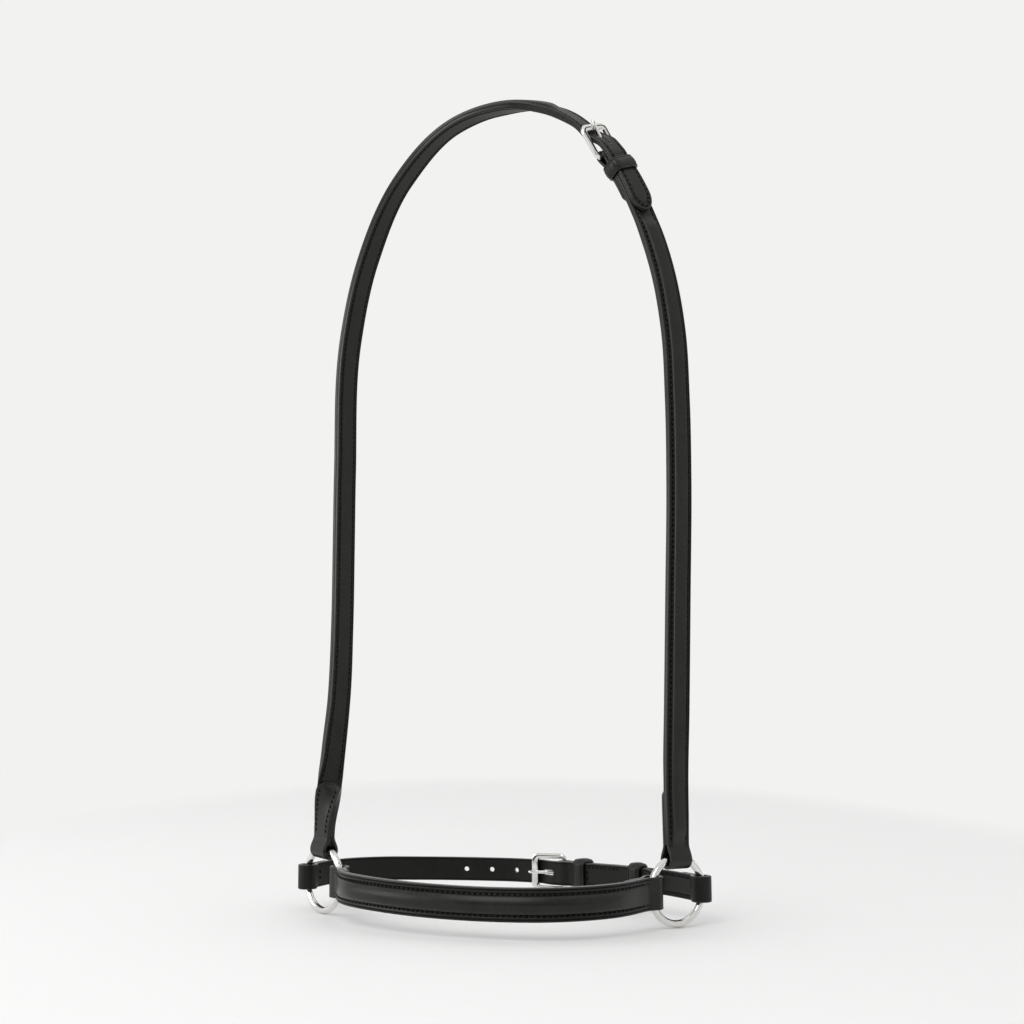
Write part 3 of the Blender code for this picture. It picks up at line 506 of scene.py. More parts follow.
@dataclass(frozen=True)
class Relief:
    """Tooling of one side of a ply, with insets measured from its edge."""

    crease: float = 0.00120
    crease_half: float = 0.00040
    crease_depth: float = 0.00040
    groove: float = 0.00255
    groove_half: float = 0.00085
    groove_depth: float = 0.00055
    # groove_tone, ridge_tone, bead_tone, bead_place and the spreads set painted light in the tone: painted
    # shade along the crease and the stitch groove, painted highlights on the bead beside the crease and on
    # the raised centre's shoulders.
    groove_tone: float = 0.55
    rise_step: float = 1.0
    swell: float = 0.14
    top_share: float = 0.255
    foot_share: float = 0.312
    ridge_tone: float = 0.8
    bead_tone: float = 0.5
    bead_place: float = 1.9
    crease_spread: float = 1.3
    groove_spread: float = 1.25
    HALVES = (-1.0, -0.5, 0.0, 0.5, 1.0)
    QUARTERS = (0.0, 0.25, 0.5, 0.75, 1.0)
    DOME_SHARES = (0.86, 0.7, 0.5, 0.25, 0.0)

    def positions(self, width: float) -> list[float]:
        """Choose where the outline has a point.

        Args:
            width: width of the ply.

        Returns:
            Insets from the edge to the middle.
        """
        half, foot, top = width / 2.0, width * self.foot_share, width * self.top_share
        made = [self.crease + self.crease_half * step for step in self.HALVES]
        made += [self.groove + self.groove_half * step for step in self.HALVES]
        made += [half - (foot + (top - foot) * step) for step in self.QUARTERS]
        made += [half - top * step for step in self.DOME_SHARES]
        return sorted(set(round(inset, 7) for inset in made if inset <= half))

    def sink(self, inset: float) -> float:
        """Return how deep creases and stitch grooves lie at an inset from the edge."""
        return (self.crease_depth * hump((inset - self.crease) / self.crease_half)
                + self.groove_depth * hump((inset - self.groove) / self.groove_half))

    def rise(self, place: float, width: float, lift: float) -> float:
        """Find the height of the raised centre.

        Args:
            place: distance from the middle.
            width: width of the ply.
            lift: how much the centre is raised here.

        Returns:
            The height over the flat ply.
        """
        foot, top = width * self.foot_share, width * self.top_share
        share = smooth_step((foot - abs(place)) / (foot - top))
        return lift * (self.rise_step * share + self.swell * (1.0 - min(abs(place) / top, 1.0) ** 2))

    def tone(self, place: float, station: Station, lift: float) -> float:
        """Find the leather's painted light: a painted highlight (1) on the bead and the raised centre's
        shoulders, painted shade (-1) in the crease and the stitch groove.

        Args:
            place: distance from the middle.
            station: the section.
            lift: how much its centre is raised.

        Returns:
            The tone.
        """
        if not self.crease_depth:
            return 0.0
        inset = station.inset(place)
        # Painted shade in the crease and the stitch groove; painted highlight on the bead beside the crease
        # and on the raised centre's shoulders.
        dark = hump((inset - self.crease) / (self.crease_spread * self.crease_half))
        if self.groove_depth:
            dark += self.groove_tone * hump((inset - self.groove) / (self.groove_spread * self.groove_half))
        bead = self.bead_tone * hump((inset - self.crease) / self.crease_half - self.bead_place)
        foot, top = station.width * self.foot_share, station.width * self.top_share
        ridge = hump((abs(place) - top) / (foot - top)) * min(lift / HIDE.crown_raise, 1.0) ** 2
        return float(np.clip(self.ridge_tone * ridge + bead - dark, -1.0, 1.0)) * station.tooled


PLAIN = Relief(groove_depth=0.0)
STITCHED = Relief()
NOSE = Relief(crease=0.00140, crease_half=0.00045, crease_depth=0.00045, groove=0.00340,
              groove_half=0.00105, groove_depth=0.00055, groove_tone=0.35, rise_step=0.62, swell=0.66,
              top_share=0.235, foot_share=0.300)
SMOOTH = Relief(crease_depth=0.0, groove_depth=0.0)


class Corner(NamedTuple):
    """One corner of a section: its place across and up, its skin and its tone."""

    across: float
    up: float
    skin: int
    tone: float


@dataclass(frozen=True)
class PlyShape:
    """How a ply is cut: tooling above and below, the rounding of its edges and its seams."""

    top: Relief = STITCHED
    bottom: Relief = SMOOTH
    top_round: float = 0.00062
    bottom_round: float = 0.00034
    over: float = 0.0
    under: float = 0.0
    EDGE_TONE = 0.3
    ARC_STEPS = 5
    LEAST_REACH, MOST_DRAWN = 0.9, 0.2
    DEPTH_ROOM, WIDTH_ROOM = 0.48, 0.45

    def surface(self, station: Station, place: float, row: Row) -> float:
        """Find the height of the ply's top or bottom.

        Args:
            station: the section.
            place: distance from its middle.
            row: top or bottom.

        Returns:
            The height over the section's middle.
        """
        inset = station.inset(place)
        if row is Row.TOP:
            return (station.depth / 2.0 + self.over - self.top.sink(inset) * station.tooled
                    + self.top.rise(place, station.width, station.lift))
        return -station.depth / 2.0 - self.under + self.bottom.sink(inset) * station.tooled

    def _face(self, station: Station, row: Row, corner: float) -> list[Corner]:
        """Return the top's corners from right to left, or the bottom's from left to right.

        Args:
            station: the section.
            row: top or bottom.
            corner: radius of the edge beside it.

        Returns:
            The corners, drawn in where the section narrows.
        """
        relief, lift = (self.top, station.lift) if row is Row.TOP else (self.bottom, 0.0)
        nominal, reach = station.width / 2.0, station.half - corner
        insets = relief.positions(station.width)
        places = []
        for index, inset in enumerate(insets[:-1]):
            span = (1.0 - inset / nominal) ** 2 - station.taper ** 2
            least = reach * (1.0 - (index + 1.0) / len(insets)) * self.LEAST_REACH
            most = reach * (1.0 - (index + 0.5) / len(insets) * self.MOST_DRAWN)
            places.append(min(max(nominal * math.sqrt(max(span, 0.0)), least), most))
        both = places + [0.0] + [-place for place in reversed(places)]
        return [Corner(place, self.surface(station, place, row), Skin.GRAIN.value,
                       relief.tone(place, station, lift)) for place in both[::row.value]]

    def outline(self, station: Station) -> list[Corner]:
        """Return the section's corners, counter-clockwise from the left of the bottom.

        Args:
            station: the section.

        Returns:
            The corners.
        """
        low, high = -station.depth / 2.0 - self.under, station.depth / 2.0 + self.over
        room = min((high - low) * self.DEPTH_ROOM, station.half * self.WIDTH_ROOM)
        under, over = min(self.bottom_round, room), min(self.top_round, room)
        edge = []
        for radius, height, start in ((under, low + under, -90.0), (over, high - over, 0.0)):
            edge += [(station.half - radius + radius * math.cos(angle), height + radius * math.sin(angle))
                     for angle in arc(start, start + 90.0, self.ARC_STEPS)]
        right = [Corner(across, up, Skin.EDGE.value, self.EDGE_TONE) for across, up in edge]
        left = [corner._replace(across=-corner.across) for corner in reversed(right)]
        return self._face(station, Row.BOTTOM, under) + right + self._face(station, Row.TOP, over) + left


def skin(rows: int, size: int, closed: bool = False, base: int = 0) -> list[Face]:
    """Join rows of equal outlines with faces.

    Args:
        rows: number of outlines.
        size: number of corners in each.
        closed: whether the last row joins the first, instead of a cap at either end.
        base: number of the first corner.

    Returns:
        The faces, as rows of corner numbers.
    """
    faces: list[Face] = []
    for row in range(rows if closed else rows - 1):
        here, there = base + row * size, base + (row + 1) % rows * size
        for column in range(size):
            following = (column + 1) % size
            faces.append((here + column, here + following, there + following, there + column))
    if not closed:
        last = base + (rows - 1) * size
        faces += [tuple(reversed(range(base, base + size))), tuple(range(last, last + size))]
    return faces


def new_object(name: str, corners: Sequence, faces: Sequence[Face], finishes: Sequence[Material],
               slots: Sequence[int] = (), sharp: float = 40.0) -> Object:
    """Make one smooth object from world corners.

    Args:
        name: the object's name.
        corners: its corners.
        faces: its faces, as rows of corner numbers.
        finishes: its materials.
        slots: a material slot for each face, if there is more than one.
        sharp: angle in degrees over which an edge stays sharp.

    Returns:
        The object, facing out.
    """
    mesh = bpy.data.meshes.new(name)
    mesh.from_pydata([tuple(corner) for corner in corners], [], faces)
    for finish in finishes:
        mesh.materials.append(finish)
    if slots:
        mesh.polygons.foreach_set("material_index", slots)
    shell = bmesh.new()
    shell.from_mesh(mesh)
    if shell.calc_volume(signed=True) < 0.0:
        mesh.flip_normals()
    shell.free()
    mesh.shade_smooth()
    mesh.set_sharp_from_angle(angle=math.radians(sharp))
    made = bpy.data.objects.new(name, mesh)
    bpy.context.scene.collection.objects.link(made)
    return made


def sweep(name: str, stations: Sequence[Station], shape: PlyShape, finishes: Sequence[Material]) -> Object:
    """Skin a row of sections into one closed ply.

    Args:
        name: the object's name.
        stations: its sections, in order.
        shape: how the ply is cut and tooled.
        finishes: its grain and edge materials.

    Returns:
        The ply, with its tones in a point attribute: painted shade in creases and stitch grooves, painted
        highlights on ridges and beads, and lighter burnished edges.
    """
    outlines = [shape.outline(station) for station in stations]
    corners = [station.place + station.across * corner.across + station.up * corner.up
               for station, outline in zip(stations, outlines) for corner in outline]
    skins = [corner.skin for corner in outlines[0]]
    columns = [min(pair) for pair in zip(skins, skins[1:] + skins[:1])]
    made = new_object(name, corners, skin(len(stations), len(skins)), finishes,
                      columns * (len(stations) - 1) + [Skin.EDGE.value] * 2)
    # Point tones are painted light and burnish: painted shade in creases and stitch grooves, painted
    # highlights on ridges and beads, lighter burnished edges.
    painted_light_and_burnish = made.data.attributes.new("painted_light_and_burnish", "FLOAT", "POINT")
    painted_light_and_burnish.data.foreach_set("value", [corner.tone for outline in outlines for corner in outline])
    return made


def loop_sweep(name: str, rows: Sequence[Sequence[Array]], finishes: Sequence[Material],
               skins: Sequence[int] = ()) -> Object:
    """Skin a closed row of equal outlines.

    Args:
        name: the object's name.
        rows: the outlines round the loop.
        finishes: its materials.
        skins: a material slot for each column, if there is more than one.

    Returns:
        The ring-shaped object.
    """
    corners = [corner for row in rows for corner in row]
    faces = skin(len(rows), len(rows[0]), closed=True)
    return new_object(name, corners, faces, finishes, list(skins) * len(rows))


def cut_away(target: Object, cutters: Sequence[Object]) -> None:
    """Take the cutters' shapes out of the target's mesh and remove the cutters.

    Args:
        target: the object to cut.
        cutters: closed objects.
    """
    for cutter in cutters:
        change = target.modifiers.new(cutter.name, "BOOLEAN")
        change.operation = "DIFFERENCE"
        change.solver = "EXACT"
        change.object = cutter
    bpy.context.view_layer.update()
    graph = bpy.context.evaluated_depsgraph_get()
    result = bpy.data.meshes.new_from_object(target.evaluated_get(graph))
    before = target.data
    target.modifiers.clear()
    target.data = result
    bpy.data.meshes.remove(before)
    for cutter in cutters:
        bpy.data.objects.remove(cutter)


@dataclass(frozen=True)
class Punch:
    """The maker's punch for holes that flare a little at both faces."""

    line: StrapLine
    finish: Material
    flare: float = 0.00022
    reach: float = 0.004
    spread: float = 0.4
    steps: int = 32

    def cutter(self, mark: float, length: float, width: float, height: float, ply: float) -> Object:
        """Make the cutter of one hole.

        Args:
            mark: arc length of the hole's middle.
            length: length of the hole along the strap.
            width: width of the hole.
            height: height of the ply's middle over the line.
            ply: thickness of the ply.

        Returns:
            The cutter.
        """
        place, along, across, outer = self.line.frame(mark)
        wall, wide = ply / 2.0 - self.flare, self.flare + self.reach * self.spread
        corners = []
        for up, wider in ((-self.reach, wide), (-wall, 0.0), (wall, 0.0), (self.reach, wide)):
            radius = width / 2.0 + wider
            for angle in full_turn(self.steps):
                straight = math.copysign((length - width) / 2.0, math.cos(angle))
                corners.append(place + along * (straight + radius * math.cos(angle))
                               + across * (radius * math.sin(angle)) + outer * (height + up))
        return new_object("punched_hole", corners, skin(4, self.steps), [self.finish])


@dataclass
class Stitching:
    """Rows of waxed thread, each stitch a short rounded length that dives at both ends."""

    pitch: float = 0.0034
    length: float = 0.0026
    radius: float = 0.00048
    slant: float = math.radians(24.0)
    dive: float = 0.00095
    proud: float = 0.55
    thinning: float = 0.72
    sides: int = 8
    corners: list[Array] = field(default_factory=list)
    faces: list[Face] = field(default_factory=list)
    SHARES = (-1.0, -0.8, -0.4, 0.0, 0.4, 0.8, 1.0)
    PROBE = 0.0005
    MOST_TAPER = 0.98

    def row(self, ply: Ply, shape: PlyShape, path: Path, row: Row, tip: float = 0.0) -> None:
        """Sew one row over a ply.

        Args:
            ply: the ply that is sewn.
            shape: how its surface runs.
            path: points along the row, as arc length and distance from the middle.
            row: the side of the ply that shows the stitches.
            tip: arc length at which the ply's rounded end starts to close, or 0.
        """
        points = []
        ups = []
        for mark, place in path:
            taper = min(max((mark - tip) / HIDE.billet_tip, 0.0), self.MOST_TAPER) if tip else 0.0
            station = ply.station(mark, taper)
            height = shape.surface(station, place, row)
            points.append(station.place + station.across * place + station.up * height)
            ups.append(station.up * float(row.value))
        table, outward = np.array(points), np.array(ups)
        marks = np.concatenate(([0.0], np.cumsum(np.linalg.norm(np.diff(table, axis=0), axis=1))))
        count = max(1, int(round(marks[-1] / self.pitch)))
        for here in marks[-1] * (np.arange(count) + 0.5) / count:
            run = unit(sample(here + self.PROBE, marks, table) - sample(here - self.PROBE, marks, table))
            self._stitch(sample(here, marks, table), run, square_to(sample(here, marks, outward), run))

    def _stitch(self, centre: Array, run: Array, up: Array) -> None:
        """Add one slanted stitch.

        Args:
            centre: its middle, on the leather.
            run: direction of the row.
            up: direction out of the leather.
        """
        run = run * math.cos(self.slant) + np.cross(up, run) * math.sin(self.slant)
        side = np.cross(up, run)
        base = len(self.corners)
        for share in self.SHARES:
            thick = self.radius * math.sqrt(max(1.0 - self.thinning * share ** 4, 0.0))
            middle = (centre + run * (share * self.length / 2.0)
                      + up * (self.radius * self.proud - self.dive * share ** 4))
            self.corners += [middle + side * (thick * wide) + up * (thick * deep)
                             for wide, deep in squared_round(self.sides)]
        self.faces += skin(len(self.SHARES), self.sides, base=base)

    def build(self, name: str, finish: Material) -> Object:
        """Return all rows as one object."""
        return new_object(name, self.corners, self.faces, [finish], sharp=60.0)


def straight_row(start: float, end: float, place: float, step: float = 0.002) -> Path:
    """Return the path of a stitch row that keeps its distance from the middle."""
    count = max(2, int(abs(end - start) / step))
    return [(mark, place) for mark in np.linspace(start, end, count + 1)]


def tip_row(start: float, tip: float, half: float, inset: float, steps: int = 24) -> Path:
    """Return the path of a row that runs up a billet, round its tip and back.

    Args:
        start: arc length where both runs start.
        tip: arc length of the very tip.
        half: half the strap's width.
        inset: distance of the row from the edge.
        steps: steps round the tip.

    Returns:
        Points as arc length and distance from the middle.
    """
    shoulder = tip - HIDE.billet_tip
    reach, across = HIDE.billet_tip - inset, half - inset
    bend = [(shoulder + reach * math.cos(angle), across * math.sin(angle))
            for angle in arc(90.0, -90.0, steps)[1:-1]]
    return straight_row(start, shoulder, across) + bend + straight_row(shoulder, start, -across)


class Nodes:
    """A shader's node tree, with short ways to add nodes to it."""

    def __init__(self, tree: bpy.types.NodeTree) -> None:
        """Take the tree that is worked on."""
        self.tree = tree

    def fill(self, node: bpy.types.Node, values: Values) -> None:
        """Link or set a node's inputs.

        Args:
            node: the node.
            values: a link or a number for each input, by its name or place.
        """
        for label, value in values.items():
            if isinstance(value, Socket):
                self.tree.links.new(value, node.inputs[label])
            else:
                node.inputs[label].default_value = value

    def add(self, kind: str, values: Values | None = None, **settings: object) -> bpy.types.Node:
        """Add a shader node.

        Args:
            kind: its type, without Blender's prefix.
            values: links or numbers for its inputs.
            settings: its properties.

        Returns:
            The node.
        """
        node = self.tree.nodes.new("ShaderNode" + kind)
        for label, value in settings.items():
            setattr(node, label, value)
        self.fill(node, values or {})
        return node

    def math(self, operation: str, *values: object) -> Socket:
        """Add a math node and return its output."""
        return self.add("Math", dict(enumerate(values)), operation=operation).outputs[0]

    def noise(self, place: Socket, scale: float, detail: float) -> Socket:
        """Add a noise texture and return its value."""
        return self.add("TexNoise", {"Vector": place, "Scale": scale, "Detail": detail}).outputs[0]


def new_finish(name: str, values: Values) -> tuple[Material, Nodes]:
    """Start a Principled material.

    Args:
        name: the material's name.
        values: plain values of the shader.

    Returns:
        The material and its nodes.
    """
    made = bpy.data.materials.new(name)
    made.use_nodes = True
    nodes = Nodes(made.node_tree)
    nodes.fill(made.node_tree.nodes["Principled BSDF"], values)
    return made, nodes


def grouped_finish(name: str, group: bpy.types.NodeTree, given: Values, values: Values) -> Material:
    """Make a Principled material that takes what varies from a node group.

    Args:
        name: the material's name.
        group: the shared group, whose outputs feed the inputs of the same names.
        given: values of the group's inputs.
        values: plain values of the shader.

    Returns:
        The material.
    """
    made, nodes = new_finish(name, values)
    varied = nodes.add("Group", given, node_tree=group)
    nodes.fill(made.node_tree.nodes["Principled BSDF"], {output.name: output for output in varied.outputs})
    return made


class Shaders:
    """Shader node groups that several finishes share, each built once.

    A texture is its scale and its detail. The tone numbers say how far the painted light (painted shade in
    creases and grooves, painted highlights on ridges and beads), the edges' burnishing and the leather's own
    unevenness change its colour and its roughness.
    """

    FINE, BROAD, PATCH = (5200.0, 3.0), (70.0, 4.0), (420.0, 3.0)
    HAIR, HAZE = (6000.0, 2.0), (260.0, 5.0)
    HAIR_STRETCH = (1.0, 1.0, 0.12)
    PEBBLE_SMOOTHNESS, PEBBLE_SHARE = 0.5, 0.75
    PATCH_SHARE = 0.6
    TONE_COLOUR, UNEVEN_COLOUR, PLAIN_COLOUR = 0.5, 0.9, 0.34
    UNEVEN_ROUGHNESS, PEBBLE_ROUGHNESS = 0.22, 0.06
    RUBBED_ROUGHNESS, DARK_ROUGHNESS = -0.10, -0.36
    MEAN_HAZE = 0.42

    def __init__(self) -> None:
        """Build the groups."""
        self.grain = self._leather_grain()
        self.polish = self._steel_polish()

    @staticmethod
    def _group(name: str, inputs: Values,
               outputs: Sequence[str]) -> tuple[Nodes, bpy.types.NodeOutputs, bpy.types.Node]:
        """Start a group with named sockets.

        Args:
            name: the group's name.
            inputs: its inputs with their values, a colour where there are four numbers.
            outputs: its outputs.

        Returns:
            The group's nodes, the sockets that it is given and its result node.
        """
        kinds = {"Base Color": "NodeSocketColor", "Roughness": "NodeSocketFloat",
                 "Normal": "NodeSocketVector"}
        tree = bpy.data.node_groups.new(name, "ShaderNodeTree")
        for label, value in inputs.items():
            kind = "NodeSocketColor" if isinstance(value, tuple) else "NodeSocketFloat"
            tree.interface.new_socket(name=label, in_out="INPUT", socket_type=kind).default_value = value
        for label in outputs:
            tree.interface.new_socket(name=label, in_out="OUTPUT", socket_type=kinds[label])
        return Nodes(tree), tree.nodes.new("NodeGroupInput").outputs, tree.nodes.new("NodeGroupOutput")

    def _leather_grain(self) -> bpy.types.NodeTree:
        """Build pebbled grain, with painted highlights and lower roughness on ridges, painted shade and
        higher roughness in creases, and a faint bloom.

        Returns:
            The group.
        """
        nodes, given, result = self._group("leather_grain", {
            "Colour": (0.01, 0.01, 0.01, 1.0), "Rubbed And Highlight Colour": (0.03, 0.03, 0.03, 1.0),
            "Pebble Scale": 1700.0, "Pebble Depth": 0.00004, "Roughness": 0.45,
        }, ("Base Color", "Roughness", "Normal"))
        place = nodes.add("TexCoord").outputs["Object"]
        pebble = nodes.add("TexVoronoi", feature="SMOOTH_F1")
        nodes.fill(pebble, {"Smoothness": self.PEBBLE_SMOOTHNESS, "Vector": place,
                            "Scale": given["Pebble Scale"]})
        pebbled = pebble.outputs["Distance"]
        fine, broad, patch = (nodes.noise(place, *texture) for texture in (self.FINE, self.BROAD, self.PATCH))
        height = nodes.math("MULTIPLY_ADD", pebbled, self.PEBBLE_SHARE,
                            nodes.math("MULTIPLY", fine, 1.0 - self.PEBBLE_SHARE))
        bump = nodes.add("Bump", {"Strength": 1.0, "Distance": given["Pebble Depth"], "Height": height})
        # The tone attribute is painted light and burnish: painted shade (below 0) darkens creases and stitch
        # grooves, painted highlights (above 0) lighten ridges and beads, and edges sit lighter where
        # burnished.
        tone = nodes.add("Attribute", attribute_name="painted_light_and_burnish").outputs["Fac"]
        uneven = nodes.math("ADD", nodes.math("SUBTRACT", broad, 0.5),
                            nodes.math("MULTIPLY", nodes.math("SUBTRACT", patch, 0.5), self.PATCH_SHARE))
        rubbed_and_highlight = nodes.math("MULTIPLY_ADD", uneven, self.UNEVEN_COLOUR, self.PLAIN_COLOUR)
        rubbed_and_highlight = nodes.math("MULTIPLY_ADD", tone, self.TONE_COLOUR, rubbed_and_highlight)
        mix = nodes.add("Mix", data_type="RGBA", clamp_factor=True)
        nodes.fill(mix, {"Factor": rubbed_and_highlight, 6: given["Colour"], 7: given["Rubbed And Highlight Colour"]})
        rough = nodes.math("MULTIPLY_ADD", uneven, self.UNEVEN_ROUGHNESS, given["Roughness"])
        for limit, amount in (("MAXIMUM", self.RUBBED_ROUGHNESS), ("MINIMUM", self.DARK_ROUGHNESS)):
            rough = nodes.math("MULTIPLY_ADD", nodes.math(limit, tone, 0.0), amount, rough)
        rough = nodes.math("MULTIPLY_ADD", pebbled, self.PEBBLE_ROUGHNESS, rough)
        nodes.fill(result, {"Base Color": mix.outputs[2], "Roughness": rough,
                            "Normal": bump.outputs["Normal"]})
        return nodes.tree

    def _steel_polish(self) -> bpy.types.NodeTree:
        """Build hand-polished metal with faint hairlines and handling haze.

        Returns:
            The group.
        """
        nodes, given, result = self._group("steel_polish", {
            "Roughness": 0.1, "Haze": 0.12, "Hairline Depth": 0.000004,
        }, ("Roughness", "Normal"))
        place = nodes.add("TexCoord").outputs["Object"]
        stretch = nodes.add("Mapping", {"Scale": self.HAIR_STRETCH, "Vector": place})
        hair = nodes.noise(stretch.outputs["Vector"], *self.HAIR)
        haze = nodes.noise(place, *self.HAZE)
        bump = nodes.add("Bump", {"Strength": 1.0, "Distance": given["Hairline Depth"], "Height": hair})
        uneven = nodes.math("SUBTRACT", haze, self.MEAN_HAZE)
        rough = nodes.math("MULTIPLY_ADD", uneven, given["Haze"], given["Roughness"])
        nodes.fill(result, {"Roughness": rough, "Normal": bump.outputs["Normal"]})
        return nodes.tree


@dataclass(frozen=True)
class LeatherFinish:
    """Dyed and waxed bridle leather."""

    name: str
    colour: Point
    # The lighter colour, taken by rubbed uneven patches and by the painted highlights on ridges, beads and
    # burnished edges.
    rubbed_and_highlight: Point
    roughness: float
    pebble_scale: float
    pebble_depth: float
    specular: float = 0.36
    coat: float = 0.10
    coat_roughness: float = 0.30

    def make(self, shaders: Shaders) -> Material:
        """Make the material.

        Args:
            shaders: the shared node groups.

        Returns:
            The material.
        """
        given = {"Colour": (*self.colour, 1.0), "Rubbed And Highlight Colour": (*self.rubbed_and_highlight, 1.0),
                 "Pebble Scale": self.pebble_scale, "Pebble Depth": self.pebble_depth,
                 "Roughness": self.roughness}
        plain = {"Specular IOR Level": self.specular, "Coat Weight": self.coat,
                 "Coat Roughness": self.coat_roughness}
        return grouped_finish(self.name, shaders.grain, given, plain)


@dataclass(frozen=True)
class SteelFinish:
    """Polished stainless steel."""

    name: str
    colour: Point
    roughness: float
    haze: float
    hairline: float

    def make(self, shaders: Shaders) -> Material:
        """Make the material.

        Args:
            shaders: the shared node groups.

        Returns:
            The material.
        """
        given = {"Roughness": self.roughness, "Haze": self.haze, "Hairline Depth": self.hairline}
        plain = {"Base Color": (*self.colour, 1.0), "Metallic": 1.0}
        return grouped_finish(self.name, shaders.polish, given, plain)


@dataclass(frozen=True)
class Wardrobe:
    """The finishes of the noseband, ready made."""

    grain: Material
    nose: Material
    chin: Material
    edge: Material
    lining: Material
    thread: Material
    steel: Material

    @classmethod
    def make(cls, shaders: Shaders) -> "Wardrobe":
        """Make every finish from the shared groups."""
        return cls(
            grain=LeatherFinish("black_bridle_leather", (0.0010, 0.0010, 0.0007), (0.0145, 0.0146, 0.0108),
                                0.38, 1500.0, 0.000050).make(shaders),
            # The nosepiece's leather is a lighter copy of the black bridle leather: painted light, lighter
            # where the lamps fall on the nosepiece.
            nose=LeatherFinish("nosepiece_leather", (0.0008, 0.0008, 0.0006), (0.0175, 0.0176, 0.0138),
                               0.33, 1500.0, 0.000050, 0.30, 0.06).make(shaders),
            chin=LeatherFinish("chin_leather", (0.0008, 0.0008, 0.0006), (0.0085, 0.0086, 0.0068),
                               0.42, 1900.0, 0.000050, 0.28, 0.0).make(shaders),
            edge=LeatherFinish("burnished_edge", (0.0012, 0.0012, 0.0009), (0.0120, 0.0121, 0.0096),
                               0.33, 900.0, 0.000020, 0.42, 0.2, 0.22).make(shaders),
            lining=LeatherFinish("lining_leather", (0.0014, 0.0014, 0.0011), (0.0165, 0.0166, 0.0130),
                                 0.46, 2300.0, 0.000035, 0.34, 0.0).make(shaders),
            thread=LeatherFinish("waxed_thread", (0.0002, 0.0002, 0.0002), (0.0014, 0.0014, 0.0012),
                                 0.50, 5200.0, 0.00009, 0.14, 0.0).make(shaders),
            steel=SteelFinish("polished_steel", (0.80, 0.79, 0.77), 0.085, 0.10, 0.0000015).make(shaders),
        )


class Routes:
    """The lines that the straps follow, from the left ring to the right ring.

    A crown point is its place across, its drop and its outer direction. A level point is its place
    across, back and up. All places are shares of the noseband's own sizes.
    """

    CROWN = (
        (-0.992, 0.945, (0.56, 0.83, 0.00)),
        (-0.951, 0.842, (-0.78, 0.63, 0.00)),
        (-0.922, 0.775, (-0.86, 0.51, 0.00)),
        (-0.909, 0.680, (-0.88, 0.47, 0.00)),
        (-0.907, 0.580, (-0.88, 0.47, 0.00)),
        (-0.906, 0.480, (-0.88, 0.47, 0.00)),
        (-0.882, 0.300, (-0.89, 0.45, 0.06)),
        (-0.778, 0.191, (-0.86, 0.39, 0.30)),
        (-0.559, 0.084, (-0.62, 0.22, 0.74)),
        (-0.236, 0.015, (-0.25, 0.04, 0.97)),
        (0.000, 0.000, (-0.05, -0.09, 0.99)),
        (0.304, 0.006, (0.20, -0.44, 0.88)),
        (0.500, 0.030, (0.55, -0.52, 0.66)),
        (0.620, 0.061, (0.61, -0.62, 0.50)),
        (0.741, 0.100, (0.62, -0.67, 0.40)),
        (0.864, 0.160, (0.61, -0.74, 0.27)),
        (0.962, 0.231, (0.62, -0.77, 0.18)),
        (1.022, 0.313, (0.61, -0.79, 0.10)),
        (1.040, 0.404, (0.60, -0.80, 0.04)),
        (1.042, 0.506, (0.59, -0.81, 0.00)),
        (1.027, 0.655, (0.59, -0.81, 0.00)),
        (1.012, 0.790, (0.59, -0.81, 0.00)),
        (1.001, 0.880, (0.64, -0.77, 0.00)),
    )
    NOSE = (
        (-0.735, -0.52, -0.01), (-0.480, -0.785, -0.04), (-0.170, -0.955, -0.07),
        (0.160, -1.000, -0.09), (0.460, -0.930, -0.08), (0.710, -0.690, -0.05),
    )
    CHIN = (
        (-1.060, 0.42, 0.01), (-0.880, 0.69, -0.02), (-0.640, 0.855, -0.07), (-0.360, 0.950, -0.10),
        (-0.100, 0.975, -0.11), (0.110, 0.905, -0.09), (0.380, 0.745, -0.05), (0.660, 0.575, -0.02),
        (0.890, 0.405, -0.02),
    )

    def __init__(self) -> None:
        """Run the three lines."""
        self.crown = self._crown()
        self.nose = self._level(self.NOSE, BAND.nose_depth, -1.0, HIDE.nose_width, LINED.middle)
        self.chin = self._level(self.CHIN, BAND.chin_depth, 1.0, HIDE.strap_width, SINGLE.middle)

    def _crown(self) -> StrapLine:
        """Run the line over the poll, whose left end is twisted over on its ring.

        Returns:
            The line.
        """
        points = [np.array([across * BAND.ring_half_span, 0.0, HIDE.crown_seat - drop * BAND.poll_drop])
                  for across, drop, _ in self.CROWN]
        outers = [np.cross(BAND.ring_direction(side), UP) for side in Side]
        first, last = (BAND.wire_place(side, UP, HIDE.strap_width) - outer * LINED.middle
                       for side, outer in zip(Side, outers))
        return StrapLine([first, *points, last], [outers[0], *(face for _, _, face in self.CROWN), outers[1]])

    @staticmethod
    def _level(shares: Sequence[Point], depth: float, way: float, width: float, middle: float) -> StrapLine:
        """Run the line of a strap that lies level.

        Args:
            shares: its points.
            depth: how far it reaches from the rings.
            way: -1 for the nosepiece and 1 for the chin strap.
            width: its width.
            middle: height of its folds' middle.

        Returns:
            The line.
        """
        points = [(across * BAND.ring_half_span, back * depth,
                   height * BAND.ring_inner_radius - BAND.poll_drop) for across, back, height in shares]
        first, last = (BAND.wire_place(side, BAND.ring_direction(side) * way, width) for side in Side)
        knots = np.array([first, *points, last])
        faces = [np.cross(line, UP) for line in np.gradient(knots, axis=0)]
        for index in (0, -1):
            knots[index] = knots[index] - unit(faces[index]) * middle
        return StrapLine(knots, faces)


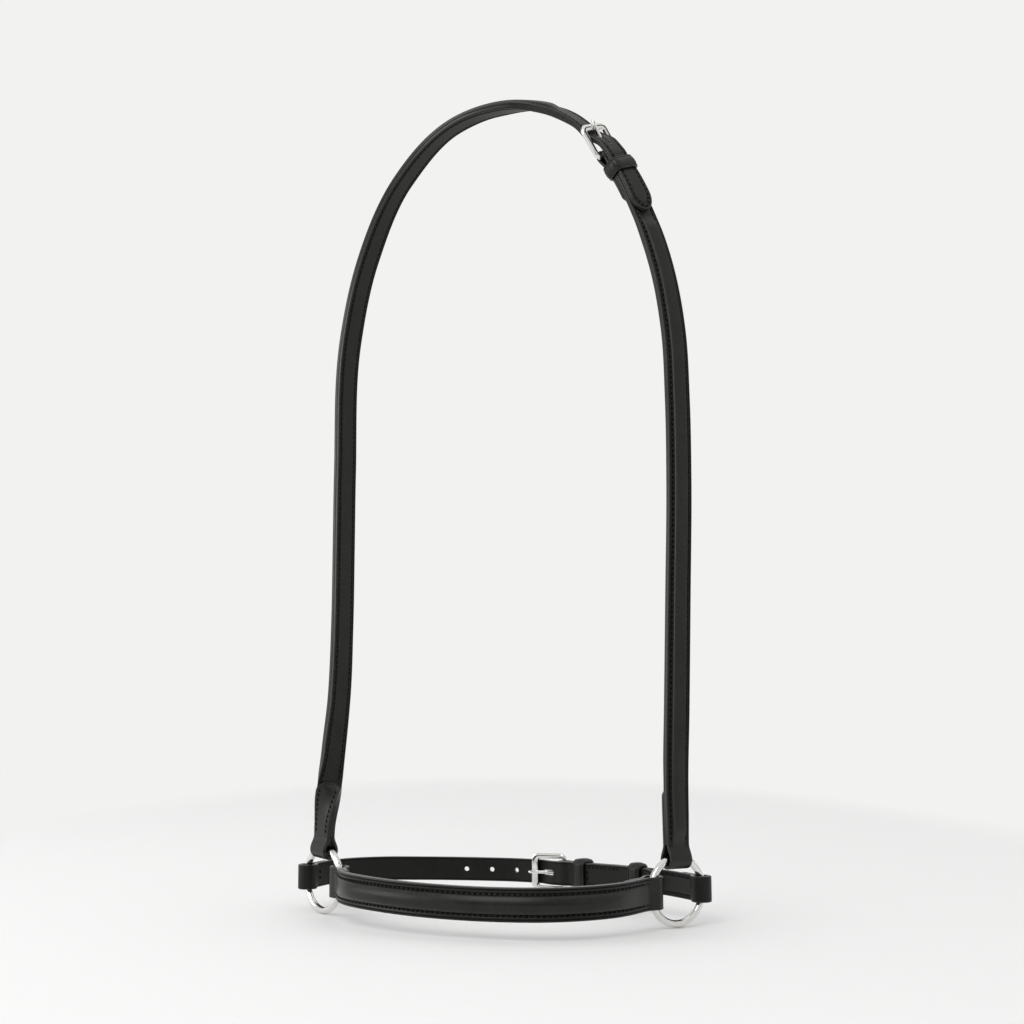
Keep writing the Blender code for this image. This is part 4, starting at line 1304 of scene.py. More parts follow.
@dataclass(frozen=True)
class BuckleSizes:
    """Sizes that both buckles share."""

    length: float = 0.022
    inner_width: float = 0.0182
    heel_radius: float = 0.0017
    bar_width: float = 0.0036
    far_bar_width: float = 0.0048
    bar_depth: float = 0.0030
    corner: float = 0.0038
    heel_corner: float = 0.0024
    eye_wall: float = 0.0012
    pin_clearance: float = 0.00025
    tongue_width: float = 0.0026
    tongue_depth: float = 0.0020
    tongue_sag: float = 0.0005
    overhang: float = 0.0018
    seat_gap: float = 0.0003
    far_bar_gap: float = 0.0006
    hole_length: float = 0.0115
    hole_width: float = 0.0034
    hole_share: float = 0.490
    hole_ply: float = 0.004
    slot_clearance: float = 0.0004
    slot_reach: float = 0.014
    slot_depth: float = 0.010
    drop_shares: tuple[float, float] = (0.22, 0.92)
    settle_shares: tuple[float, float] = (0.16, 0.40)

    @property
    def bore(self) -> float:
        """Radius of a tongue's eye."""
        return self.heel_radius + self.pin_clearance


BUCKLE = BuckleSizes()


class BuckleSeat:
    """Where a buckle's bars lie on a strap, and how the billet runs by."""

    DROPS = 12
    SETTLES = (0.0, 0.3, 0.7, 1.0)
    TRIES = 40

    def __init__(self, line: StrapLine, mark: float, leaves: Leaves, strap_top: float, billet: float) -> None:
        """Find the far bar's place.

        Args:
            line: the strap's line.
            mark: arc length of the heel bar.
            leaves: the fold round the heel bar.
            strap_top: height of the strap's top past the fold.
            billet: thickness of the billet.
        """
        self.line = line
        self.mark = mark
        fold_top = leaves.middle + BUCKLE.heel_radius + HIDE.loop_clearance + leaves.ply
        self.rise = fold_top + BUCKLE.seat_gap + billet / 2.0
        self.lie = strap_top + BUCKLE.seat_gap + billet / 2.0
        self.top = self.lie + billet / 2.0
        far_height = billet / 2.0 + BUCKLE.far_bar_gap + BUCKLE.bar_depth / 2.0
        self.heel = line.at(mark, leaves.middle)
        near, far = mark - BUCKLE.length * 2.0, mark
        for _ in range(self.TRIES):
            guess = (near + far) / 2.0
            if np.linalg.norm(line.at(guess, far_height) - self.heel) > BUCKLE.length:
                near = guess
            else:
                far = guess
        self.far_mark = (near + far) / 2.0
        self.far = line.at(self.far_mark, far_height)
        self.along = unit(self.far - self.heel)
        self.across = square_to(line.frame(mark)[2] + line.frame(self.far_mark)[2], self.along)
        self.outer = self.facing(unit(np.cross(self.across, self.along)), line.frame(mark)[3])

    @staticmethod
    def facing(vector: Array, way: Array) -> Array:
        """Return the vector or its opposite, whichever faces this way."""
        return vector if np.dot(vector, way) >= 0.0 else -vector

    @property
    def hole(self) -> float:
        """Arc length of the hole that the tongue goes through."""
        return self.mark - BUCKLE.hole_share * BUCKLE.length

    def billet_height(self, mark: float) -> float:
        """Find the height of the billet as it rises over the buckle and settles behind it.

        Args:
            mark: arc length.

        Returns:
            The height of its middle over the line.
        """
        back = (self.mark - mark) / BUCKLE.length
        if back > 0.0:
            begin, end = BUCKLE.drop_shares
            return self.rise * (1.0 - smooth_step((back - begin) / (end - begin)))
        begin, end = BUCKLE.settle_shares
        return self.rise + (self.lie - self.rise) * smooth_step((-back - begin) / (end - begin))

    def stops(self, tip: float) -> tuple[float, ...]:
        """Choose arc lengths that follow the billet's rise over the buckle.

        Args:
            tip: arc length of its tip.

        Returns:
            The arc lengths, up to where the tip starts to close.
        """
        begin, end = BUCKLE.drop_shares
        made = [self.mark - BUCKLE.length * share for share in np.linspace(end, begin, self.DROPS + 1)]
        begin, end = BUCKLE.settle_shares
        settles = [begin + (end - begin) * share for share in self.SETTLES]
        made += [self.mark + BUCKLE.length * share for share in (0.0, *settles)]
        return (self.far_mark, *made, tip - HIDE.billet_tip)

    def heel_fold(self, leaves: Leaves, turn_back: float) -> Fold:
        """Return the fold that holds the heel bar."""
        return Fold(self.line, self.mark, -1.0, leaves, HIDE.strap_width, turn_back, BUCKLE.heel_radius)

    def slot_cutter(self, finish: Material, steps: int = 8) -> Object:
        """Make the cutter for the slot that lets the tongue out of its fold.

        Args:
            finish: material of the cut wall.
            steps: steps round the slot's end.

        Returns:
            The cutter.
        """
        along, across, outer = self.line.frame(self.mark)[1:]
        half = BUCKLE.tongue_width / 2.0 + BUCKLE.slot_clearance
        eye = BUCKLE.bore + BUCKLE.eye_wall + BUCKLE.slot_clearance - half
        outline = [self.heel - along * BUCKLE.slot_reach + across * side for side in (-half, half)]
        outline += [self.heel + along * (eye + half * math.cos(angle)) + across * (half * math.sin(angle))
                    for angle in arc(90.0, -90.0, steps)]
        corners = [point + outer * height for height in (-BUCKLE.slot_depth, BUCKLE.slot_depth)
                   for point in outline]
        return new_object("tongue_slot", corners, skin(2, len(outline)), [finish])


def skived(mark: float, thin: Sequence[Stretch], full: float) -> float:
    """Return the thickness of a ply that is pared down over some stretches.

    Args:
        mark: arc length.
        thin: stretches as start, end and thickness there.
        full: full thickness.

    Returns:
        The thickness at the mark.
    """
    depth = full
    for start, end, there in thin:
        away = max(start - mark, mark - end, 0.0)
        depth = min(depth, there + (full - there) * smooth_step(away / HIDE.skive))
    return depth


def place_piece(piece: Object, body: str, nodes: Sequence[str] = ()) -> None:
    """Hang a piece on its body and report it.

    Args:
        piece: the finished piece.
        body: name of the body that it moves with.
        nodes: CAD nodes that it stands for.
    """
    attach(piece, body)
    if nodes:
        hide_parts(*nodes)
    LOG.info("%s: %d faces on %s", piece.name, len(piece.data.polygons), body)


@dataclass(kw_only=True)
class RaisedStrap:
    """Sizes that every lined strap with a raised centre shares, and how its layers are made."""

    name: str
    line: StrapLine
    wardrobe: Wardrobe
    width: float = HIDE.strap_width
    lift: float = HIDE.crown_raise
    fade: float = HIDE.raise_fade
    shape: PlyShape = PlyShape(under=HIDE.ply_gap / 2.0 - HIDE.seam)
    lining_shape: PlyShape = PlyShape(top=SMOOTH, bottom=Relief(crease_depth=0.00034, groove_depth=0.00060),
                                      top_round=0.00034, bottom_round=0.00062,
                                      over=HIDE.ply_gap / 2.0 - HIDE.seam)
    sewing: Stitching = field(default_factory=Stitching)
    RISE_SHARES = (0.0, 0.15, 0.3, 0.5, 0.7, 0.85, 1.0)
    LEAF_SEWN = 0.8

    def plies(self, height_of: Measure, face_thin: Sequence[Stretch], lining_thin: Sequence[Stretch],
              start: float, end: float) -> tuple[Ply, Ply]:
        """Lay the strap's two plies.

        Args:
            height_of: height over the line of the seam between them.
            face_thin: stretches where the face is pared down.
            lining_thin: stretches where the lining is.
            start: arc length at which the raised centre starts.
            end: arc length at which it ends.

        Returns:
            The face and the lining.
        """
        face = Ply(self.line, height_of, lambda mark: skived(mark, face_thin, HIDE.face_ply), self.width, 1.0,
                   lambda mark: self.lift * smooth_step(min(mark - start, end - mark) / self.fade))
        lining = Ply(self.line, height_of, lambda mark: skived(mark, lining_thin, HIDE.lining_ply),
                     self.width, -1.0)
        return face, lining

    def rise_stops(self, start: float, end: float) -> tuple[float, ...]:
        """Return arc lengths along which the raised centre rises and sinks."""
        rising = [start + self.fade * share for share in self.RISE_SHARES]
        return (*rising, *(end - self.fade * share for share in reversed(self.RISE_SHARES)))

    def layers(self, face: Sequence[Station], lining: Sequence[Station],
               leather: Material) -> tuple[Object, Object]:
        """Sweep face and lining and return them."""
        edge = self.wardrobe.edge
        return (sweep(self.name + "_outer", face, self.shape, (leather, edge)),
                sweep(self.name + "_inner", lining, self.lining_shape, (self.wardrobe.lining, edge)))

    def sew_both(self, ply: Ply, start: float, end: float, row: Row = Row.TOP) -> None:
        """Sew a row on either side of the middle, over the face or under the lining.

        Args:
            ply: the ply that is sewn.
            start: arc length where the rows start.
            end: arc length where they end.
            row: the side that shows the stitches.
        """
        place = self.width / 2.0 - self.shape.top.groove
        shape = self.shape if row is Row.TOP else self.lining_shape
        for across in (place, -place):
            self.sewing.row(ply, shape, straight_row(start, end, across), row)

    def sew_leaf(self, fold: Fold) -> None:
        """Sew the two rows that show on a turned-back leaf."""
        end = fold.mark - fold.way * (fold.turn_back - HIDE.turned_end * self.LEAF_SEWN)
        self.sew_both(fold.leaf(-1.0), fold.throat - fold.way * HIDE.row_gap, end)

    def finish(self, face: Object, lining: Object) -> None:
        """Put face, lining and thread in place.

        Args:
            face: the outer ply.
            lining: the inner ply.
        """
        place_piece(face, "noseband", (self.name + "_face", self.name + "_padding"))
        place_piece(lining, "noseband", (self.name + "_lining",))
        thread = self.sewing.build(self.name + "_thread", self.wardrobe.thread)
        place_piece(thread, "noseband")


@dataclass(kw_only=True)
class CrownStrap(RaisedStrap):
    """The long strap from the left ring over the poll to its billet."""

    seat: BuckleSeat
    billet_reach: float = 0.048
    BUCKLE_CLEAR = 0.004

    def build(self) -> None:
        """Build the strap."""
        seat, ring = self.seat, ring_fold(self.line, -1.0, LINED, self.width, HIDE.turn_back)
        tip = seat.mark + self.billet_reach
        thin_from = seat.far_mark - BUCKLE.far_bar_width
        billet = (thin_from, tip, HIDE.billet_ply)
        raise_end = thin_from - HIDE.skive
        face_ply, lining_ply = self.plies(
            seat.billet_height, ((0.0, ring.throat, HIDE.fold_ply), billet),
            ((0.0, ring.turn_back, HIDE.fold_lining), billet), ring.throat, raise_end)
        stops = self.rise_stops(ring.throat, raise_end) + seat.stops(tip)
        ends = [ply.rounded_end(tip, 1.0, HIDE.billet_tip) for ply in (face_ply, lining_ply)]
        face, lining = self.layers(ring.stations() + face_ply.run(stops)[1:] + ends[0],
                                   lining_ply.run(stops) + ends[1], self.wardrobe.grain)
        punch = Punch(self.line, self.wardrobe.edge)
        for piece in (face, lining):
            cut_away(piece, [punch.cutter(seat.hole, BUCKLE.hole_length, BUCKLE.hole_width,
                                          seat.billet_height(seat.hole), BUCKLE.hole_ply)])
        row = tip_row(ring.throat + HIDE.row_gap, tip, self.width / 2.0, self.shape.top.groove)
        for part in self._without(row, seat.far_mark - HIDE.row_gap, seat.mark - self.BUCKLE_CLEAR):
            self.sewing.row(face_ply, self.shape, part, Row.TOP, tip - HIDE.billet_tip)
        self.sew_leaf(ring)
        self.sew_both(lining_ply, ring.turn_back + HIDE.row_gap, seat.far_mark - HIDE.row_gap, Row.BOTTOM)
        self.finish(face, lining)

    @staticmethod
    def _without(row: Path, start: float, end: float) -> list[Path]:
        """Leave a gap in a stitch row.

        Args:
            row: its path.
            start: arc length where the gap starts.
            end: arc length where it ends.

        Returns:
            The paths before and behind the gap.
        """
        parts: list[Path] = [[]]
        for mark, place in row:
            if not start < mark < end:
                parts[-1].append((mark, place))
            elif parts[-1]:
                parts.append([])
        return [part for part in parts if len(part) > 1]


@dataclass(kw_only=True)
class CheekStrap(RaisedStrap):
    """The short strap from the crown buckle down to the right ring."""

    seat: BuckleSeat
    billet_reach: float = 0.048

    def build(self) -> None:
        """Build the strap."""
        seat, length = self.seat, self.line.length
        heel = seat.heel_fold(LINED, HIDE.buckle_turn_back)
        ring = ring_fold(self.line, 1.0, LINED, self.width, HIDE.turn_back)
        billet_end = seat.mark + self.billet_reach
        raise_start = billet_end + HIDE.raise_rest
        leaf = length - ring.turn_back
        face_ply, lining_ply = self.plies(
            constant(0.0), ((seat.mark, billet_end, HIDE.fold_ply), (ring.throat, length, HIDE.fold_ply)),
            ((seat.mark, billet_end, HIDE.fold_lining), (leaf, length, HIDE.fold_lining)),
            raise_start, ring.throat)
        stops = (heel.throat, billet_end) + self.rise_stops(raise_start, ring.throat)
        face, lining = self.layers(heel.stations() + face_ply.run(stops)[1:-1] + ring.stations(),
                                   lining_ply.run(stops), self.wardrobe.grain)
        cut_away(face, [seat.slot_cutter(self.wardrobe.edge)])
        self.sew_both(face_ply, heel.throat + HIDE.bend_gap, ring.throat - HIDE.row_gap)
        for fold in (heel, ring):
            self.sew_leaf(fold)
        self.sew_both(lining_ply, seat.mark + heel.turn_back + HIDE.row_gap, leaf - HIDE.row_gap, Row.BOTTOM)
        self.finish(face, lining)


@dataclass(kw_only=True)
class Nosepiece(RaisedStrap):
    """The padded front band, turned back on both rings."""

    width: float = HIDE.nose_width
    lift: float = HIDE.nose_raise
    fade: float = 0.034
    shape: PlyShape = PlyShape(top=NOSE, under=HIDE.ply_gap / 2.0 - HIDE.seam)
    flat_end: float = 0.007

    def build(self) -> None:
        """Build the nosepiece."""
        length = self.line.length
        left, right = (ring_fold(self.line, way, LINED, self.width, HIDE.nose_turn_back)
                       for way in (-1.0, 1.0))
        begin, end = left.throat + self.flat_end, right.throat - self.flat_end
        leaf = length - right.turn_back
        face_ply, lining_ply = self.plies(
            constant(0.0), ((0.0, left.throat, HIDE.fold_ply), (right.throat, length, HIDE.fold_ply)),
            ((0.0, left.turn_back, HIDE.fold_lining), (leaf, length, HIDE.fold_lining)), begin, end)
        stops = (left.throat, *self.rise_stops(begin, end), right.throat)
        face, lining = self.layers(left.stations() + face_ply.run(stops)[1:-1] + right.stations(),
                                   lining_ply.run(stops), self.wardrobe.nose)
        self.sew_both(face_ply, left.throat + HIDE.bend_gap, right.throat - HIDE.bend_gap)
        for fold in (left, right):
            self.sew_leaf(fold)
        self.sew_both(lining_ply, left.turn_back + HIDE.row_gap, leaf - HIDE.row_gap, Row.BOTTOM)
        self.finish(face, lining)


@dataclass(kw_only=True)
class ChinStrap:
    """The two single-ply halves of the chin strap, and their holes and stitches."""

    line: StrapLine
    seat: BuckleSeat
    wardrobe: Wardrobe
    billet_reach: float = 0.086
    spare_hole: float = 0.0032
    first_spare: float = 0.0275
    hole_pitch: float = 0.0180
    spare_holes: int = 3
    leaf_margin: float = 0.005
    buckle_sewn: float = 0.004
    billet_sewn: tuple[float, float] = (0.0250, 0.0525)
    cross_gap: float = 0.0015
    shape: PlyShape = PlyShape(top=PLAIN, bottom=PLAIN, top_round=0.00070, bottom_round=0.00070)
    sewn_shape: PlyShape = PlyShape(top=STITCHED, bottom=STITCHED, top_round=0.00070, bottom_round=0.00070)
    sewing: Stitching = field(default_factory=Stitching)

    def build(self) -> None:
        """Build both halves."""
        line, seat, width, turn_back = self.line, self.seat, HIDE.strap_width, HIDE.chin_turn_back
        left, right = (ring_fold(line, way, SINGLE, width, turn_back) for way in (-1.0, 1.0))
        heel = seat.heel_fold(SINGLE, turn_back)
        tip = seat.mark + self.billet_reach
        billet_ply = Ply(line, seat.billet_height, lambda mark: skived(
            mark, ((0.0, turn_back, HIDE.chin_fold_ply),), HIDE.chin_ply), width)
        buckle_ply = Ply(line, constant(0.0), constant(HIDE.chin_fold_ply), width)
        skins = (self.wardrobe.chin, self.wardrobe.edge)
        billet = sweep("chin_strap_billet", left.stations()
                       + billet_ply.run((left.throat, *seat.stops(tip)))[1:]
                       + billet_ply.rounded_end(tip, 1.0, HIDE.billet_tip), self.shape, skins)
        cut_away(billet, self._punches())
        buckle_half = sweep("chin_strap_buckle_half", heel.stations()
                            + buckle_ply.run((heel.throat, tip, right.throat))[1:-1] + right.stations(),
                            self.sewn_shape, skins)
        cut_away(buckle_half, [seat.slot_cutter(self.wardrobe.edge)])
        place_piece(billet, "noseband", ("chin_billet_strap",))
        place_piece(buckle_half, "noseband", ("chin_buckle_strap",))
        for fold in (left, right, heel):
            leaf_end = fold.mark - fold.way * (turn_back - self.leaf_margin)
            self._sew(fold.leaf(-1.0), fold.throat - fold.way * HIDE.row_gap, leaf_end)
        self._sew(billet_ply, left.throat + HIDE.row_gap, turn_back - self.leaf_margin)
        self._sew(buckle_ply, tip - self.buckle_sewn, right.throat - HIDE.row_gap)
        self._sew(billet_ply, *(seat.mark + reach for reach in self.billet_sewn))
        place_piece(self.sewing.build("chin_strap_thread", self.wardrobe.thread), "noseband")

    def _punches(self) -> list[Object]:
        """Make the cutters of the chin strap's holes.

        Returns:
            The cutter of the hole in use, then those of the spare ones.
        """
        seat, punch = self.seat, Punch(self.line, self.wardrobe.edge)
        cutters = [punch.cutter(seat.hole, BUCKLE.hole_length, BUCKLE.hole_width,
                                seat.billet_height(seat.hole), BUCKLE.hole_ply)]
        for index in range(self.spare_holes):
            mark = seat.hole - self.first_spare - index * self.hole_pitch
            cutters.append(punch.cutter(mark, self.spare_hole, self.spare_hole, seat.billet_height(mark),
                                        HIDE.chin_ply))
        return cutters

    def _sew(self, ply: Ply, start: float, end: float) -> None:
        """Sew a row near either edge, and one across where they start.

        Args:
            ply: the ply that is sewn.
            start: arc length where the rows start.
            end: arc length where they end.
        """
        half = HIDE.strap_width / 2.0 - self.sewn_shape.top.groove
        shape = self.sewn_shape if ply.depth_of(start) < HIDE.chin_ply else self.shape
        across = [(start, half - self.cross_gap), (start, self.cross_gap - half)]
        for path in (straight_row(start, end, half), straight_row(start, end, -half), across):
            self.sewing.row(ply, shape, path, Row.TOP)


@dataclass
class Keeper:
    """A leather loop that holds a billet down."""

    name: str
    node: str
    body: str
    wardrobe: Wardrobe
    line: StrapLine
    mark: float
    low: float
    high: float
    clearance: float
    length: float = 0.0095
    wall: float = 0.0018
    corner: float = 0.0026
    crease: float = 0.0012
    crease_half: float = 0.0004
    crease_depth: float = 0.00032
    dome: float = 0.00045
    dome_share: float = 0.55
    outer_round: float = 0.0008
    inner_round: float = 0.00025
    DOME_SHARES = (0.35, 0.0, -0.35)
    EDGE_STEPS = 5
    BEND_STEPS = 9
    SIDE_STEPS = 6

    def _section(self) -> tuple[Path, list[int]]:
        """Draw the loop's section.

        Returns:
            Its corners as along and outward distances, and a skin for each.
        """
        half = self.length / 2.0
        points: Path = []
        skins: list[int] = []
        for side, size, start in ((1, self.outer_round, 0.0), (-1, self.outer_round, 90.0),
                                  (-1, self.inner_round, 180.0), (1, self.inner_round, 270.0)):
            height = self.wall - size if start < 180.0 else size
            points += [(side * (half - size) + size * math.cos(angle), height + size * math.sin(angle))
                       for angle in arc(start, start + 90.0, self.EDGE_STEPS)]
            skins += [Skin.EDGE.value] * (self.EDGE_STEPS + 1)
            if start == 0.0:
                for place in self._tooling(half):
                    inside = half - self.crease - abs(place)
                    swell = self.dome * smooth_step(inside / (half * self.dome_share))
                    sink = self.crease_depth * hump(inside / self.crease_half)
                    points.append((place, self.wall + swell - sink))
                    skins.append(Skin.GRAIN.value)
        return points, skins

    def _tooling(self, half: float) -> list[float]:
        """Return places across the outer face that catch its two crease lines."""
        near = [half - self.crease - self.crease_half * step for step in Relief.HALVES]
        return near + [half * share for share in self.DOME_SHARES] + [-place for place in reversed(near)]

    def build(self) -> None:
        """Build the keeper."""
        place, along, across, outer = self.line.frame(self.mark)
        centre = place + outer * ((self.low + self.high) / 2.0)
        half_width = HIDE.strap_width / 2.0 + self.clearance - self.corner
        half_height = (self.high - self.low) / 2.0 + self.clearance - self.corner
        section, skins = self._section()
        rows = []
        for quarter, (side, rise) in enumerate(((1, 1), (-1, 1), (-1, -1), (1, -1))):
            bend = arc(90.0 * quarter, 90.0 * (quarter + 1), self.BEND_STEPS)
            span = 2.0 * (half_height if quarter % 2 else half_width)
            turns = [(angle, 0.0) for angle in bend]
            turns += [(bend[-1], span * step / self.SIDE_STEPS) for step in range(1, self.SIDE_STEPS)]
            for angle, slide in turns:
                spoke = across * math.cos(angle) + outer * math.sin(angle)
                tangent = outer * math.cos(angle) - across * math.sin(angle)
                inner = (centre + across * (side * half_width) + outer * (rise * half_height)
                         + spoke * self.corner + tangent * slide)
                rows.append([inner + along * step + spoke * out for step, out in section])
        made = loop_sweep(self.name, rows, (self.wardrobe.grain, self.wardrobe.edge), skins)
        place_piece(made, self.body, (self.node,))


@dataclass
class WireRing:
    """A round ring of drawn and polished wire."""

    side: Side
    wardrobe: Wardrobe
    steps: int = 128
    sides: int = 28

    def build(self) -> None:
        """Build the ring."""
        name = self.side.name.lower() + "_ring"
        centre, flat = BAND.ring_centre(self.side), BAND.ring_direction(self.side)
        normal = np.cross(flat, UP)
        rows = []
        for turn in full_turn(self.steps):
            spoke = flat * math.cos(turn) + UP * math.sin(turn)
            rows.append([centre + spoke * (BAND.ring_radius + BAND.wire_radius * wide)
                         + normal * (BAND.wire_radius * deep) for wide, deep in squared_round(self.sides)])
        wire = loop_sweep(name + "_wire", rows, (self.wardrobe.steel,))
        place_piece(wire, name + "_body", (name,))


@dataclass
class Buckle:
    """A cast frame with a flat face, and its tongue."""

    name: str
    seat: BuckleSeat
    frame_body: str
    tongue_body: str
    wardrobe: Wardrobe
    sides: int = 32
    squareness: float = 0.55
    eye_squareness: float = 0.6
    pin_squareness: float = 0.7
    tongue_sides: int = 16
    eye_steps: int = 40
    pin_steps: int = 22
    CORNER_STEPS = 14
    BAR_STEPS = 10
    PIN_START = 0.0005
    PIN_NARROWED, PIN_THINNED = 0.28, 0.22
    BLUNT_FROM, BLUNT_OVER, BLUNT_LEAST = 0.92, 0.082, 0.12
    SAG_FROM, SAG_OVER = 0.8, 0.2

    def build(self) -> None:
        """Build frame and tongue."""
        frame = loop_sweep(self.name + "_frame_cast", list(self._frame_rows()), (self.wardrobe.steel,))
        place_piece(frame, self.frame_body, (self.name + "_frame",))
        place_piece(self._tongue(), self.tongue_body, (self.name + "_tongue",))

    def _path(self) -> Iterator[tuple[float, float, float]]:
        """Walk round the frame.

        Yields:
            The place across, the place along and the angle that faces out.
        """
        side = (BUCKLE.inner_width + BUCKLE.bar_width) / 2.0
        corners = [(way * (side - radius), along, radius, start) for way, along, radius, start in (
            (1, BUCKLE.heel_corner, BUCKLE.heel_corner, -90.0),
            (1, BUCKLE.length - BUCKLE.corner, BUCKLE.corner, 0.0),
            (-1, BUCKLE.length - BUCKLE.corner, BUCKLE.corner, 90.0),
            (-1, BUCKLE.heel_corner, BUCKLE.heel_corner, 180.0))]
        bends = [[(across + radius * math.cos(angle), along + radius * math.sin(angle), angle)
                  for angle in arc(start, start + 90.0, self.CORNER_STEPS)]
                 for across, along, radius, start in corners]
        for bend, ahead in zip(bends, bends[1:] + bends[:1]):
            yield from bend
            across, along, angle = bend[-1]
            next_across, next_along, _ = ahead[0]
            for share in np.arange(1, self.BAR_STEPS) / self.BAR_STEPS:
                yield across + (next_across - across) * share, along + (next_along - along) * share, angle

    def _frame_rows(self) -> Iterator[list[Array]]:
        """Walk round the frame's outlines, round at the heel and squarer round the rest.

        Yields:
            The corners of each outline.
        """
        seat, wider = self.seat, BUCKLE.far_bar_width - BUCKLE.bar_width
        for across, along, angle in self._path():
            share = smooth_step(along / (2.0 * BUCKLE.heel_corner))
            bar_width = BUCKLE.bar_width + wider * smooth_step(math.sin(angle))
            half_width, half_depth = (BUCKLE.heel_radius + (size / 2.0 - BUCKLE.heel_radius) * share
                                      for size in (bar_width, BUCKLE.bar_depth))
            centre = seat.heel + seat.across * across + seat.along * along
            out = seat.across * math.cos(angle) + seat.along * math.sin(angle)
            yield [centre + out * (half_width * wide) + seat.outer * (half_depth * deep)
                   for wide, deep in squared_round(self.sides, 1.0 - (1.0 - self.squareness) * share)]

    def _tongue(self) -> Object:
        """Make the tongue: an eye round the heel bar and a tapered pin over the far bar.

        Returns:
            The tongue.
        """
        seat, half, depth = self.seat, BUCKLE.tongue_width / 2.0, BUCKLE.tongue_depth / 2.0
        target = seat.far + seat.outer * (BUCKLE.bar_depth / 2.0 + BUCKLE.seat_gap + depth)
        run = unit(target - seat.heel)
        lift = seat.facing(unit(np.cross(seat.across, run)), seat.outer)
        corners: list[Array] = []
        for angle in full_turn(self.eye_steps):
            spoke = run * math.cos(angle) + lift * math.sin(angle)
            corners += [seat.heel + spoke * (BUCKLE.bore + BUCKLE.eye_wall * (0.5 + 0.5 * wide))
                        + seat.across * (half * deep)
                        for wide, deep in squared_round(self.tongue_sides, self.eye_squareness)]
        faces = skin(self.eye_steps, self.tongue_sides, closed=True)
        faces += skin(self.pin_steps + 1, self.tongue_sides, base=len(corners))
        length = float(np.linalg.norm(target - seat.heel)) + BUCKLE.far_bar_width / 2.0 + BUCKLE.overhang
        begin = BUCKLE.bore + self.PIN_START
        for share in np.linspace(0.0, 1.0, self.pin_steps + 1):
            closing = max((share - self.BLUNT_FROM) / self.BLUNT_OVER, 0.0)
            blunt = max(math.sqrt(max(1.0 - closing ** 2, 0.0)), self.BLUNT_LEAST)
            half_wide = half * (1.0 - self.PIN_NARROWED * share) * blunt
            half_deep = depth * (1.0 - self.PIN_THINNED * share) * blunt
            sag = -BUCKLE.tongue_sag * max((share - self.SAG_FROM) / self.SAG_OVER, 0.0) ** 2
            corners += [seat.heel + run * (begin + (length - begin) * share)
                        + seat.across * (half_wide * wide) + lift * (half_deep * deep + sag)
                        for wide, deep in squared_round(self.tongue_sides, self.pin_squareness)]
        return new_object(self.name + "_tongue_pin", corners, faces, [self.wardrobe.steel])


class Softbox(NamedTuple):
    """A soft lamp: its name, where it hangs and its power in watts."""

    name: str
    place: Point
    power: float


